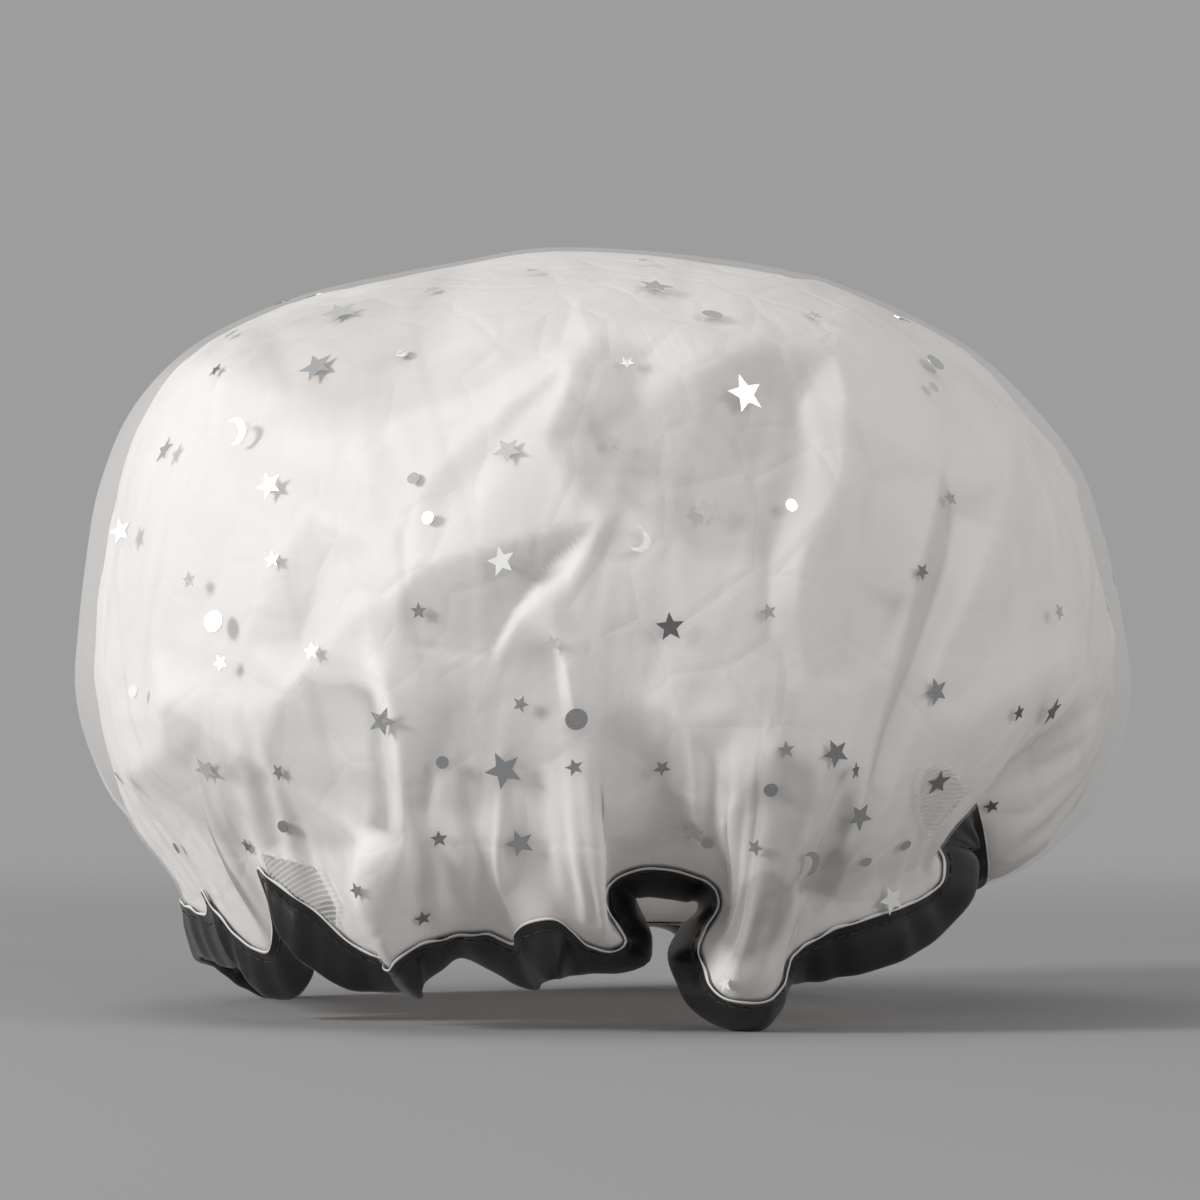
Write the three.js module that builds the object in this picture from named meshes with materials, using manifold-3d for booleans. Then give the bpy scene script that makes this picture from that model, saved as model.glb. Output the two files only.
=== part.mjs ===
// A bouffant shower cap: a frosted film liner under a sheer net cover, both gathered into a folded
// satin tape that holds a flat elastic, with foil stars, moons and dots bonded to the net.
// Millimetres, +Z up, the front towards -Y, the origin on the ground under the middle of the cap.
import * as THREE from 'three';
import Module from 'manifold-3d';
import { mergeVertices } from 'three/addons/utils/BufferGeometryUtils.js';

const wasm = await Module();
wasm.setup();

// Driving sizes of the cap as it stands, puffed up.
const capWidth = 260;
const capDepth = 244;
const capHeight = 188;

// Sheets and the sewn edge.
const coverWall = 0.4;
const linerWall = 0.4;
const seamClearance = 0.3;
const linerSlack = 3.4;
const tapeWidth = 15;
const tapeWall = 0.5;
const tapeFoldWall = 1.4;
const hemDepth = 4.2;
const elasticWall = 0.5;
const elasticPlay = 0.8;
const threadWidth = 0.6;
const threadClearance = 0.5;
const seamLineInset = 3;
const cutOverrun = 20;
const weldReach = 1e-4;

// Foil pieces.
const foilWall = 0.3;
const foilClearance = 0.3;
const bigStarRadius = 4.6;
const midStarRadius = 3.5;
const smallStarRadius = 2.1;
const bigDotRadius = 2.5;
const smallDotRadius = 1.5;
const moonRadius = 3;
const starWaistShare = 0.44;
const moonBiteShare = 0.86;
const moonShiftShare = 0.5;
const foilLeanShare = 0.8;
const foilProbes = 10;
const foilProbeShares = [0.5, 0.75, 1];

// The front view that the places below were read from: its pixels, and where the eye stands.
const viewDistance = 1800;
const midPixelX = 602;
const eyePixelY = 600;
const halfSpanPixels = 525;
const topSpanPixels = 350;
const eyeHeightShare = 0.538;
const eyeHeight = capHeight * eyeHeightShare;
const acrossPerPixel = capWidth / 2 / halfSpanPixels;
const upPerPixel = (capHeight - eyeHeight) / topSpanPixels;

// The crown and the levels below it: height share, then the reach to the left, right, front and back
// as shares of the half width and the half depth.
const crownShiftShare = -0.08;
const domeShares = [
  [0.979, 0.22, 0.34, 0.28, 0.28],
  [0.936, 0.535, 0.545, 0.54, 0.53],
  [0.851, 0.8, 0.75, 0.78, 0.77],
  [0.707, 0.94, 0.915, 0.93, 0.93],
  [0.58, 0.98, 0.972, 0.985, 0.985],
  [0.47, 0.998, 0.998, 0.995, 1],
];
const skirtShares = [0.36, 0.68, 0.88];
const hipPullShare = 0.45;
const rimPullShare = 0.3;
const slackShares = [0.5, 0.7, 0.9, 1, 1, 1, 0.8, 0.45, 0.15];
const topRows = 3;
const middleRows = 5;
const evenPasses = 40;
const hangSkewShare = 0.5;

// The sewn edge of the tape along the front, from the left side to the right one: the pixel across and
// down, the depth as a share of the half depth, then the way the tape hangs: right, down and away.
const frontRimShares = [
  [189, 904, 0.13, 10, 55, 14],
  [183, 898, 0.03, 16, 57, 4],
  [188, 903, -0.1, 23, 56, 0],
  [209, 911, -0.23, 26, 53, -4],
  [209, 899, -0.295, 26, 50, -14],
  [204, 888, -0.35, 22, 54, -4],
  [217, 907, -0.39, 22, 55, 4],
  [235, 929, -0.425, 20, 54, 14],
  [253, 944, -0.46, 12, 50, 26],
  [268, 949, -0.495, 12, 46, 30],
  [273, 930, -0.525, 26, 38, 20],
  [270, 900, -0.555, 28, 46, 4],
  [260, 866, -0.6, 22, 54, 2],
  [267, 871, -0.65, 16, 56, 2],
  [287, 889, -0.68, 8, 58, 2],
  [317, 910, -0.69, 0, 57, 8],
  [345, 935, -0.7, 0, 48, 28],
  [369, 950, -0.715, 8, 36, 44],
  [388, 956, -0.735, 16, 32, 44],
  [385, 964, -0.775, 22, 28, 44],
  [390, 966, -0.82, 24, 26, 44],
  [395, 957, -0.85, 20, 30, 42],
  [406, 948, -0.85, 12, 38, 38],
  [421, 941, -0.825, -2, 42, 36],
  [438, 936, -0.805, -3, 30, 48],
  [455, 932, -0.79, 2, 22, 54],
  [473, 931, -0.785, 3, 27, 52],
  [489, 930, -0.79, 6, 40, 38],
  [503, 936, -0.8, 10, 42, 30],
  [515, 941, -0.82, 13, 38, 32],
  [517, 930, -0.855, 16, 40, 24],
  [530, 920, -0.885, 14, 47, 6],
  [549, 917, -0.89, 8, 51, 4],
  [567, 927, -0.865, 4, 40, 34],
  [588, 942, -0.83, 3, 24, 50],
  [611, 947, -0.81, 8, 22, 52],
  [623, 940, -0.8, 22, 22, 46],
  [616, 927, -0.79, 34, 16, 42],
  [606, 915, -0.785, 38, 11, 42],
  [602, 900, -0.785, 36, 10, 44],
  [605, 886, -0.785, 28, 14, 47],
  [615, 875, -0.785, 18, 21, 49],
  [633, 867, -0.785, 6, 28, 50],
  [661, 865, -0.78, 0, 33, 48],
  [693, 872, -0.77, -6, 27, 50],
  [709, 879, -0.765, -12, 20, 52],
  [720, 890, -0.76, -18, 13, 52],
  [722, 903, -0.76, -20, 8, 52],
  [717, 917, -0.765, -21, 4, 51],
  [708, 930, -0.77, -23, 0, 50],
  [702, 943, -0.78, -27, 2, 48],
  [706, 963, -0.805, -30, 8, 46],
  [714, 984, -0.85, -22, 18, 49],
  [727, 995, -0.875, -7, 28, 50],
  [749, 999, -0.88, 0, 34, 48],
  [768, 996, -0.865, -2, 30, 50],
  [779, 985, -0.835, -2, 24, 51],
  [788, 957, -0.75, 2, 25, 50],
  [799, 945, -0.7, 2, 31, 47],
  [829, 928, -0.665, 3, 47, 30],
  [872, 914, -0.615, 6, 53, 14],
  [915, 898, -0.53, 14, 38, 38],
  [930, 889, -0.495, 23, 30, 40],
  [940, 878, -0.48, 34, 14, 42],
  [942, 864, -0.47, 36, 4, 44],
  [931, 839, -0.44, 36, 6, 44],
  [945, 818, -0.4, 30, 26, 38],
  [959, 799, -0.355, 16, 46, 24],
  [970, 797, -0.3, -2, 54, 14],
  [979, 815, -0.255, -20, 46, 24],
  [987, 846, -0.2, -38, 26, 34],
  [988, 875, -0.12, -48, 12, 32],
];

// The same edge round the back, as shares of the half width, the half depth and the height, then the
// way the tape hangs: right, down and away.
const backRimShares = [
  [0.7, 0.01, 0.16, -54, 12, 14],
  [0.68, 0.13, 0.165, -52, 24, 0],
  [0.655, 0.24, 0.172, -40, 42, -6],
  [0.62, 0.35, 0.175, -16, 54, -4],
  [0.545, 0.46, 0.158, -4, 56, 8],
  [0.46, 0.55, 0.135, 4, 56, 4],
  [0.37, 0.62, 0.1, 4, 58, -2],
  [0.29, 0.655, 0.0755, 0, 60, 4],
  [0.215, 0.675, 0.092, -2, 36, 40],
  [0.14, 0.7, 0.095, 0, 2, 58],
  [0.045, 0.715, 0.096, 0, -4, 58],
  [-0.06, 0.7, 0.108, 0, 26, 48],
  [-0.17, 0.675, 0.135, 0, 46, 30],
  [-0.28, 0.66, 0.16, -2, 54, 2],
  [-0.385, 0.62, 0.185, 2, 54, -14],
  [-0.47, 0.55, 0.155, 6, 56, 2],
  [-0.56, 0.49, 0.125, 4, 58, 4],
  [-0.63, 0.43, 0.0765, 0, 60, 0],
  [-0.7, 0.34, 0.095, -2, 59, 0],
  [-0.76, 0.24, 0.125, 4, 56, 6],
];

// The main folds of the front: the pixels at both ends, then how wide and how proud the fold stands.
const foldWide = 15;
const foldNarrow = 10;
const foldProud = 3;
const foldSlight = 1.8;
const mainFolds = [
  [745, 950, 960, 470, foldWide, foldProud],
  [700, 930, 838, 330, foldWide, foldSlight],
  [770, 960, 900, 660, foldNarrow, -foldSlight],
  [830, 920, 1010, 640, foldNarrow, foldSlight],
  [385, 930, 400, 620, foldWide, foldProud],
  [345, 920, 350, 760, foldNarrow, -foldSlight],
  [400, 640, 620, 350, foldWide, foldSlight],
  [470, 920, 595, 535, foldWide, foldSlight],
  [150, 860, 235, 400, foldWide, foldSlight],
  [610, 900, 560, 650, foldNarrow, foldSlight],
];
const backPleats = 22;
const backPleatProud = 2.2;

// Foil pieces on the front, by kind: the pixel across and down, and the turn in degrees.
const frontFoils = {
  star_big: [[743, 402, 18], [342, 320, 10], [655, 287, 0], [504, 770, 25], [318, 369, 40]],
  star_mid: [
    [670, 627, 5], [270, 486, 30], [502, 563, 12], [520, 842, 20], [207, 767, 33], [383, 722, 50],
    [1040, 707, 15], [167, 452, 8], [931, 690, 24], [834, 753, 30], [691, 830, 12], [707, 512, 22],
    [508, 452, 40],
  ],
  star_small: [
    [418, 611, 0], [311, 651, 12], [278, 772, 30], [437, 836, 8], [573, 767, 20], [662, 766, 33],
    [768, 612, 15], [851, 770, 5], [1010, 710, 18], [947, 500, 9], [919, 572, 40],
    [1058, 612, 25], [611, 445, 10], [222, 662, 30], [273, 560, 14],
  ],
  dot_big: [[574, 719, 0], [214, 621, 0], [935, 363, 0], [711, 321, 0]],
  dot_small: [[430, 520, 0], [790, 507, 0], [283, 826, 0], [443, 762, 0], [770, 790, 0]],
  moon: [[240, 436, 200], [638, 541, 160]],
};
// Foil pieces round the back: the turn from the right side and the height share, then the turn.
const backFoils = {
  star_big: [[0.3, 0.62, 10], [0.68, 0.5, 40]],
  star_mid: [[0.48, 0.74, 20], [0.86, 0.66, 5]],
  star_small: [[0.14, 0.48, 0]],
  moon: [[0.56, 0.4, 120]],
};

const up = new THREE.Vector3(0, 0, 1);
const lerp = THREE.MathUtils.lerp;
const smooth = (share) => THREE.MathUtils.smoothstep(share, 0, 1);

// A point of the cap from its pixel in the front view and its depth.
function fromView(pixelX, pixelY, depth) {
  const spread = 1 + depth / viewDistance;
  const across = (pixelX - midPixelX) * acrossPerPixel * spread;
  const height = eyeHeight + (eyePixelY - pixelY) * upPerPixel * spread;
  return new THREE.Vector3(across, depth, height);
}

// The pixel of the front view at which a point is seen.
function toView(point) {
  const spread = 1 + point.y / viewDistance;
  return [
    midPixelX + point.x / acrossPerPixel / spread,
    eyePixelY - (point.z - eyeHeight) / upPerPixel / spread,
  ];
}

// The stations of the sewn edge, in a loop: a place, the way in which the tape hangs from it, and
// the way in which the tape's outer leaf faces.
function rimStations() {
  const loop = frontRimShares.map(([pixelX, pixelY, depthShare, right, down, away]) => ({
    place: fromView(pixelX, pixelY, (depthShare * capDepth) / 2),
    drawn: new THREE.Vector3(right, away, -down).normalize(),
  }));
  backRimShares.forEach(([x, y, z, right, down, away]) => loop.push({
    place: new THREE.Vector3((x * capWidth) / 2, (y * capDepth) / 2, z * capHeight),
    drawn: new THREE.Vector3(right, away, -down).normalize(),
  }));
  const beside = (i, step) => loop[(i + step + loop.length) % loop.length];
  loop.forEach((station, i) => {
    const run = beside(i, 1).place.clone().sub(beside(i, -1).place).normalize();
    const skew = station.drawn.dot(run);
    const kept = THREE.MathUtils.clamp(skew, -hangSkewShare, hangSkewShare);
    station.level = station.drawn.clone().addScaledVector(run, kept - skew).normalize();
  });
  loop.forEach((station, i) => {
    station.hang = station.level.clone().multiplyScalar(2)
      .add(beside(i, 1).level).add(beside(i, -1).level).normalize();
  });
  const middle = (station) => station.place.clone().addScaledVector(station.hang, tapeWidth / 2);
  loop.forEach((station, i) => {
    const run = middle(beside(i, 1)).sub(middle(beside(i, -1)));
    station.face = new THREE.Vector3().crossVectors(station.hang, run).normalize();
  });
  return loop;
}
const stations = rimStations();
const columns = stations.length;

// A point at a station: so far down the tape from its sewn edge, and so far out of its face.
const atStation = (station, down, out) =>
  station.place.clone().addScaledVector(station.hang, down).addScaledVector(station.face, out);

// A geometry from triangles whose corners are points.
function geometryOf(triangles) {
  const values = new Float32Array(triangles.flat().flatMap((point) => point.toArray()));
  const geometry = new THREE.BufferGeometry();
  geometry.setAttribute('position', new THREE.BufferAttribute(values, 3));
  return mergeVertices(geometry, weldReach);
}

// A closed band along the rim, with an outline of [down, out] pairs at each station. Every face is
// split from its upper corner to the next station's lower one, so that layers stay parallel.
function rimBand(outline) {
  const rings = stations.map((station) => outline.map(([down, out]) => atStation(station, down, out)));
  const triangles = [];
  rings.forEach((ring, i) => {
    const next = rings[(i + 1) % columns];
    outline.forEach(([down], k) => {
      const after = (k + 1) % outline.length;
      if (outline[after][0] < down) {
        triangles.push([ring[k], ring[after], next[k]], [ring[after], next[after], next[k]]);
      } else {
        triangles.push([ring[k], ring[after], next[after]], [ring[k], next[after], next[k]]);
      }
    });
  });
  return geometryOf(triangles);
}

// The turn round the cap at which each column of cloth leaves the rim: the stations' own turns,
// evened out so that the columns spread round the dome.
function columnTurns() {
  let turns = [];
  stations.forEach((station, i) => {
    let turn = Math.atan2(station.place.y / capDepth, station.place.x / capWidth);
    while (i && turn < turns[i - 1] - Math.PI) turn += 2 * Math.PI;
    turns.push(turn);
  });
  for (let pass = 0; pass < evenPasses; pass += 1) {
    turns = turns.map((turn, i) => {
      const before = i ? turns[i - 1] : turns[columns - 1] - 2 * Math.PI;
      const next = i < columns - 1 ? turns[i + 1] : turns[0] + 2 * Math.PI;
      return (before + 2 * turn + next) / 4;
    });
  }
  return turns;
}
const turns = columnTurns();

// A point of the dome on a level of the table above.
function domePoint(turn, level) {
  const [heightShare, left, right, front, back] = domeShares[level];
  const c = Math.cos(turn);
  const s = Math.sin(turn);
  const reach = (c > 0 ? right : left) * c * c + (s > 0 ? back : front) * s * s;
  const shift = ((1 - reach) * crownShiftShare * capWidth) / 2;
  return new THREE.Vector3(
    (reach * c * capWidth) / 2 + shift,
    (reach * s * capDepth) / 2,
    heightShare * capHeight,
  );
}

// How far the main folds lift a point of the cloth.
function foldLift(point, turn) {
  const low = 1 - point.z / capHeight;
  if (point.y > 0) {
    return backPleatProud * smooth(low) * Math.sin(backPleats * turn) * Math.sin(turn);
  }
  const [pixelX, pixelY] = toView(point);
  let lift = 0;
  mainFolds.forEach(([x0, y0, x1, y1, width, proud]) => {
    const run = [x1 - x0, y1 - y0];
    const length = Math.hypot(run[0], run[1]);
    const along = ((pixelX - x0) * run[0] + (pixelY - y0) * run[1]) / length ** 2;
    const aside = (((pixelX - x0) * run[1] - (pixelY - y0) * run[0]) / length) * acrossPerPixel;
    const ends = smooth(Math.min(1, Math.max(0, 2 - 4 * Math.abs(along - 0.5))));
    lift += proud * ends * Math.exp(-((aside / width) ** 2));
  });
  return lift * smooth(Math.min(1, (-4 * point.y) / capDepth));
}

// One column of the middle of the cloth, from below the crown down into the tape.
function clothColumn(station, turn) {
  const levels = domeShares.length;
  const hip = domePoint(turn, levels - 1);
  const above = domePoint(turn, levels - 2);
  const rim = atStation(station, 0, 0);
  const span = hip.distanceTo(rim);
  const skirt = new THREE.CubicBezierCurve3(
    hip,
    hip.clone().addScaledVector(hip.clone().sub(above).normalize(), hipPullShare * span),
    rim.clone().addScaledVector(station.hang, -rimPullShare * span),
    rim,
  );
  const loose = domeShares.map((shares, level) => domePoint(turn, level));
  loose.push(...skirtShares.map((share) => skirt.getPoint(share)));
  const outward = new THREE.Vector3(Math.cos(turn), Math.sin(turn), 0);
  loose.forEach((point, row) => {
    if (row > 1) point.addScaledVector(outward, foldLift(point, turn));
  });
  return [...loose, rim, atStation(station, hemDepth, 0)];
}
const cloth = stations.map((station, i) => clothColumn(station, turns[i]));
const rowCount = cloth[0].length;
const sewnRows = 2;
const crown = new THREE.Vector3((crownShiftShare * capWidth) / 2, 0, capHeight);

// Towards the crown a row keeps every second column, and then every fourth.
function columnStep(row) {
  if (row < topRows) return 4;
  return row < topRows + middleRows ? 2 : 1;
}

function outwardAt(row, column) {
  if (row >= rowCount - sewnRows) return stations[column].face;
  const step = columnStep(row);
  const at = (r, c) => cloth[(c + columns) % columns][r];
  const down = at(row + 1, column).clone().sub(row ? at(row - 1, column) : crown);
  const along = at(row, column + step).clone().sub(at(row, column - step));
  return down.cross(along).normalize();
}

// One face of a sheet that lies so far out of the middle of the cloth, as triangles that face out.
function sheetFace(outOfRow) {
  const rows = cloth[0].map((unused, row) => {
    const points = [];
    for (let column = 0; column < columns; column += columnStep(row)) {
      const point = cloth[column][row].clone();
      points.push(point.addScaledVector(outwardAt(row, column), outOfRow(row)));
    }
    return points;
  });
  const top = crown.clone().addScaledVector(up, outOfRow(0));
  const around = (points, i) => points[i % points.length];
  const triangles = rows[0].map((point, i) => [top, point, around(rows[0], i + 1)]);
  rows.slice(1).forEach((below, k) => {
    const above = rows[k];
    const ratio = below.length / above.length;
    above.forEach((point, i) => {
      const next = around(above, i + 1);
      const fan = Array.from({ length: ratio + 1 }, (unused, j) => around(below, i * ratio + j));
      const bend = Math.ceil(ratio / 2);
      for (let j = 0; j < ratio; j += 1) triangles.push([j < bend ? point : next, fan[j], fan[j + 1]]);
      triangles.push([point, fan[bend], next]);
    });
  });
  return { triangles, hem: rows[rowCount - 1] };
}

// A sheet of cloth between two such faces, closed along its hem.
function sheetGeometry(outOfRow, wall) {
  const outer = sheetFace(outOfRow);
  const inner = sheetFace((row) => outOfRow(row) - wall);
  const triangles = [...outer.triangles, ...inner.triangles.map(([a, b, c]) => [a, c, b])];
  outer.hem.forEach((point, i) => {
    const next = (i + 1) % columns;
    triangles.push([point, inner.hem[i], inner.hem[next]], [point, inner.hem[next], outer.hem[next]]);
  });
  return geometryOf(triangles);
}

function solidOf(geometry) {
  const bare = geometry.clone();
  bare.deleteAttribute('normal');
  bare.deleteAttribute('uv');
  const merged = mergeVertices(bare, weldReach);
  return new wasm.Manifold(new wasm.Mesh({
    numProp: 3,
    vertProperties: merged.attributes.position.array,
    triVerts: new Uint32Array(merged.index.array),
  }));
}

// Cuts off what reaches below the ground, so that the lowest ruffles stand flat on it.
function cutAtGround(geometry) {
  const reach = Math.max(capWidth, capDepth) + cutOverrun;
  const block = new THREE.BoxGeometry(reach, reach, cutOverrun);
  block.translate(0, 0, -cutOverrun / 2);
  const mesh = solidOf(geometry).subtract(solidOf(block)).getMesh();
  const cut = new THREE.BufferGeometry();
  cut.setAttribute('position', new THREE.BufferAttribute(mesh.vertProperties, 3));
  cut.setIndex(new THREE.BufferAttribute(mesh.triVerts, 1));
  return cut;
}

// Across the tape: two leaves joined by a thick fold, open towards the cloth, then the flat elastic
// inside it, and a thread on each leaf.
const halfGap = seamClearance / 2 + Math.max(coverWall, linerWall) + seamClearance;
const halfTape = halfGap + tapeWall;
const tapeShoulder = tapeWidth - tapeFoldWall;
const tapeOutline = [
  [0, halfTape], [hemDepth, halfTape], [tapeShoulder, halfTape], [tapeWidth, 0],
  [tapeShoulder, -halfTape], [hemDepth, -halfTape], [0, -halfTape],
  [0, -halfGap], [hemDepth, -halfGap], [tapeShoulder, -halfGap],
  [tapeShoulder, halfGap], [hemDepth, halfGap], [0, halfGap],
];
const elasticTop = hemDepth + elasticPlay;
const elasticFoot = tapeShoulder - elasticPlay;
const elasticOutline = [
  [elasticTop, elasticWall / 2], [elasticFoot, elasticWall / 2],
  [elasticFoot, -elasticWall / 2], [elasticTop, -elasticWall / 2],
];
const threadMiddle = halfTape + threadClearance + threadWidth / 2;
const threadOutline = (side) => [
  [seamLineInset - threadWidth / 2, side * threadMiddle],
  [seamLineInset, side * threadMiddle + threadWidth / 2],
  [seamLineInset + threadWidth / 2, side * threadMiddle],
  [seamLineInset, side * threadMiddle - threadWidth / 2],
];

// Flat shapes of the foil pieces.
function starShape(radius) {
  const shape = new THREE.Shape();
  const tips = 5;
  for (let i = 0; i < 2 * tips; i += 1) {
    const reach = i % 2 ? radius * starWaistShare : radius;
    const turn = (Math.PI * i) / tips + Math.PI / 2;
    const x = reach * Math.cos(turn);
    const y = reach * Math.sin(turn);
    if (i) shape.lineTo(x, y);
    else shape.moveTo(x, y);
  }
  shape.closePath();
  return shape;
}

function dotShape(radius) {
  const shape = new THREE.Shape();
  shape.absarc(0, 0, radius, 0, 2 * Math.PI);
  return shape;
}

function moonShape(radius) {
  const bite = radius * moonBiteShare;
  const shift = radius * moonShiftShare;
  const crossX = (radius ** 2 - bite ** 2 + shift ** 2) / (2 * shift);
  const crossY = Math.sqrt(radius ** 2 - crossX ** 2);
  const outerTurn = Math.atan2(crossY, crossX);
  const innerTurn = Math.atan2(crossY, crossX - shift);
  const shape = new THREE.Shape();
  shape.absarc(0, 0, radius, outerTurn, 2 * Math.PI - outerTurn);
  shape.absarc(shift, 0, bite, 2 * Math.PI - innerTurn, innerTurn, true);
  return shape;
}

const foilKinds = {
  star_big: { shape: starShape(bigStarRadius), radius: bigStarRadius, arcSteps: 1 },
  star_mid: { shape: starShape(midStarRadius), radius: midStarRadius, arcSteps: 1 },
  star_small: { shape: starShape(smallStarRadius), radius: smallStarRadius, arcSteps: 1 },
  dot_big: { shape: dotShape(bigDotRadius), radius: bigDotRadius, arcSteps: 12 },
  dot_small: { shape: dotShape(smallDotRadius), radius: smallDotRadius, arcSteps: 12 },
  moon: { shape: moonShape(moonRadius), radius: moonRadius, arcSteps: 6 },
};

const materials = {
  net: { color: 0xd9dddc, roughness: 0.6, metalness: 0, opacity: 0.5, transparent: true },
  film: { color: 0xe9e6e3, roughness: 0.45, metalness: 0 },
  satin: { color: 0x1d1e1f, roughness: 0.4, metalness: 0 },
  elastic: { color: 0x2b2b2b, roughness: 0.8, metalness: 0 },
  thread: { color: 0x161617, roughness: 0.7, metalness: 0 },
  foil: { color: 0xc9cacb, roughness: 0.18, metalness: 1 },
};
for (const [name, look] of Object.entries(materials)) {
  materials[name] = new THREE.MeshStandardMaterial(look);
}

const cap = new THREE.Group();
function addMesh(name, geometry, material) {
  const mesh = new THREE.Mesh(geometry, material);
  mesh.name = name;
  cap.add(mesh);
  return mesh;
}

const coverInner = seamClearance / 2;
const linerOut = (row) => -coverInner - linerSlack * (slackShares[row] ?? 0);
const cover = addMesh('net_cover', sheetGeometry(() => coverInner + coverWall, coverWall), materials.net);
addMesh('film_liner', sheetGeometry(linerOut, linerWall), materials.film);
addMesh('edge_tape', cutAtGround(rimBand(tapeOutline)), materials.satin);
addMesh('rim_elastic', rimBand(elasticOutline), materials.elastic);
addMesh('needle_thread', rimBand(threadOutline(1)), materials.thread);
addMesh('bobbin_thread', rimBand(threadOutline(-1)), materials.thread);

// Lays a foil piece flat on the net where a ray meets it, clear of the highest point below it.
const ray = new THREE.Raycaster();
function layFoil(name, kind, from, towards, spin) {
  ray.set(from, towards);
  const hit = ray.intersectObject(cover)[0];
  const outward = hit.face.normal.clone();
  const lean = Math.abs(outward.z) > foilLeanShare ? new THREE.Vector3(0, 1, 0) : up;
  const across = new THREE.Vector3().crossVectors(lean, outward).normalize();
  const high = new THREE.Vector3().crossVectors(outward, across);
  let lift = 0;
  for (let i = 0; i < foilProbes; i += 1) {
    const turn = (2 * Math.PI * i) / foilProbes;
    foilProbeShares.forEach((share) => {
      const probe = hit.point.clone()
        .addScaledVector(across, Math.cos(turn) * share * kind.radius)
        .addScaledVector(high, Math.sin(turn) * share * kind.radius)
        .addScaledVector(outward, kind.radius);
      ray.set(probe, outward.clone().negate());
      const below = ray.intersectObject(cover)[0];
      if (below) lift = Math.max(lift, kind.radius - below.distance);
    });
  }
  const geometry = new THREE.ExtrudeGeometry(kind.shape, {
    depth: foilWall, bevelEnabled: false, curveSegments: kind.arcSteps, steps: 1,
  });
  const mesh = addMesh(name, geometry, materials.foil);
  const basis = new THREE.Matrix4().makeBasis(across, high, outward);
  mesh.quaternion.setFromRotationMatrix(basis);
  mesh.rotateZ(THREE.MathUtils.degToRad(spin));
  mesh.position.copy(hit.point).addScaledVector(outward, lift + foilClearance);
}

const eye = new THREE.Vector3(0, -viewDistance, eyeHeight);
const heart = new THREE.Vector3(0, 0, capHeight / 2);
cover.updateMatrixWorld();
for (const [kindName, kind] of Object.entries(foilKinds)) {
  let count = 0;
  const nextName = () => {
    count += 1;
    return `foil_${kindName}_${String(count).padStart(2, '0')}`;
  };
  frontFoils[kindName].forEach(([pixelX, pixelY, spin]) => {
    layFoil(nextName(), kind, eye, fromView(pixelX, pixelY, 0).sub(eye).normalize(), spin);
  });
  (backFoils[kindName] ?? []).forEach(([turnShare, heightShare, spin]) => {
    const turn = Math.PI * turnShare;
    const outside = new THREE.Vector3(
      Math.cos(turn) * capWidth,
      Math.sin(turn) * capDepth,
      heightShare * capHeight,
    );
    const inside = heart.clone().setZ(outside.z);
    layFoil(nextName(), kind, outside, inside.sub(outside).normalize(), spin);
  });
}

export default cap;
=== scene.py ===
# A bouffant shower cap, puffed up: a sheer net over a frosted film, gathered into a black satin tape.
# Lengths are in millimetres until a mesh is made. +X right, the front towards -Y, +Z up.
import math
import random
from collections import namedtuple

import bmesh
import bpy
import numpy as np
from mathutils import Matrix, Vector
from mathutils.bvhtree import BVHTree
from mathutils.geometry import delaunay_2d_cdt


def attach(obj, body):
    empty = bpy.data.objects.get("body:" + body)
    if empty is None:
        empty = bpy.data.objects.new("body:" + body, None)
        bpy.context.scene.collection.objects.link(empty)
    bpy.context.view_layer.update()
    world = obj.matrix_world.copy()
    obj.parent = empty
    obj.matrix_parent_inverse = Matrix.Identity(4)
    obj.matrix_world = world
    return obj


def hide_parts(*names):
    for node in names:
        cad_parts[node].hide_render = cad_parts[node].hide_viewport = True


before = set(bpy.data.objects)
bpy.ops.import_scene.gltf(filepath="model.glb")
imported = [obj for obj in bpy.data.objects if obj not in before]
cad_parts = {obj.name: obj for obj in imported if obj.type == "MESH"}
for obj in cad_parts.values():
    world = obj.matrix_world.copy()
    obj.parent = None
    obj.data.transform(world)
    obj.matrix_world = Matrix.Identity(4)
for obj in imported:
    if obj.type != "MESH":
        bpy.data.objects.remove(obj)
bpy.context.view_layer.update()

METRES = 0.001

# Driving sizes of the cap.
CAP_WIDTH = 260
CAP_DEPTH = 244
CAP_HEIGHT = 188
DISC_WIDTH = 505

# The front view that places were read from, in pixels, and where the eye stands.
VIEW_DISTANCE = 1800
MID_PIXEL_X = 602
EYE_PIXEL_Y = 600
HALF_SPAN_PIXELS = 525
TOP_SPAN_PIXELS = 350
EYE_HEIGHT = 0.538 * CAP_HEIGHT
ACROSS_PER_PIXEL = CAP_WIDTH / 2 / HALF_SPAN_PIXELS
UP_PER_PIXEL = (CAP_HEIGHT - EYE_HEIGHT) / TOP_SPAN_PIXELS
PICTURE_PIXELS = 1200
SENSOR_WIDTH = 36

# The eye, and the middle of the cap, in metres.
EYE = Vector(((PICTURE_PIXELS / 2 - MID_PIXEL_X) * ACROSS_PER_PIXEL, -VIEW_DISTANCE, EYE_HEIGHT)) * METRES
HEART = Vector((0, 0, CAP_HEIGHT / 2)) * METRES

# The crown and the levels below it: height share, then the reach to the left, right, front and back.
CROWN_SHIFT = -0.08 * CAP_WIDTH / 2
DOME_SHARES = [
    (0.979, 0.22, 0.34, 0.28, 0.28),
    (0.936, 0.535, 0.545, 0.54, 0.53),
    (0.851, 0.8, 0.75, 0.78, 0.77),
    (0.707, 0.94, 0.915, 0.93, 0.93),
    (0.58, 0.98, 0.972, 0.985, 0.985),
    (0.47, 0.998, 0.998, 0.995, 1),
]
HIP_PULL = 0.45
RIM_PULL = 0.3

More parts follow.
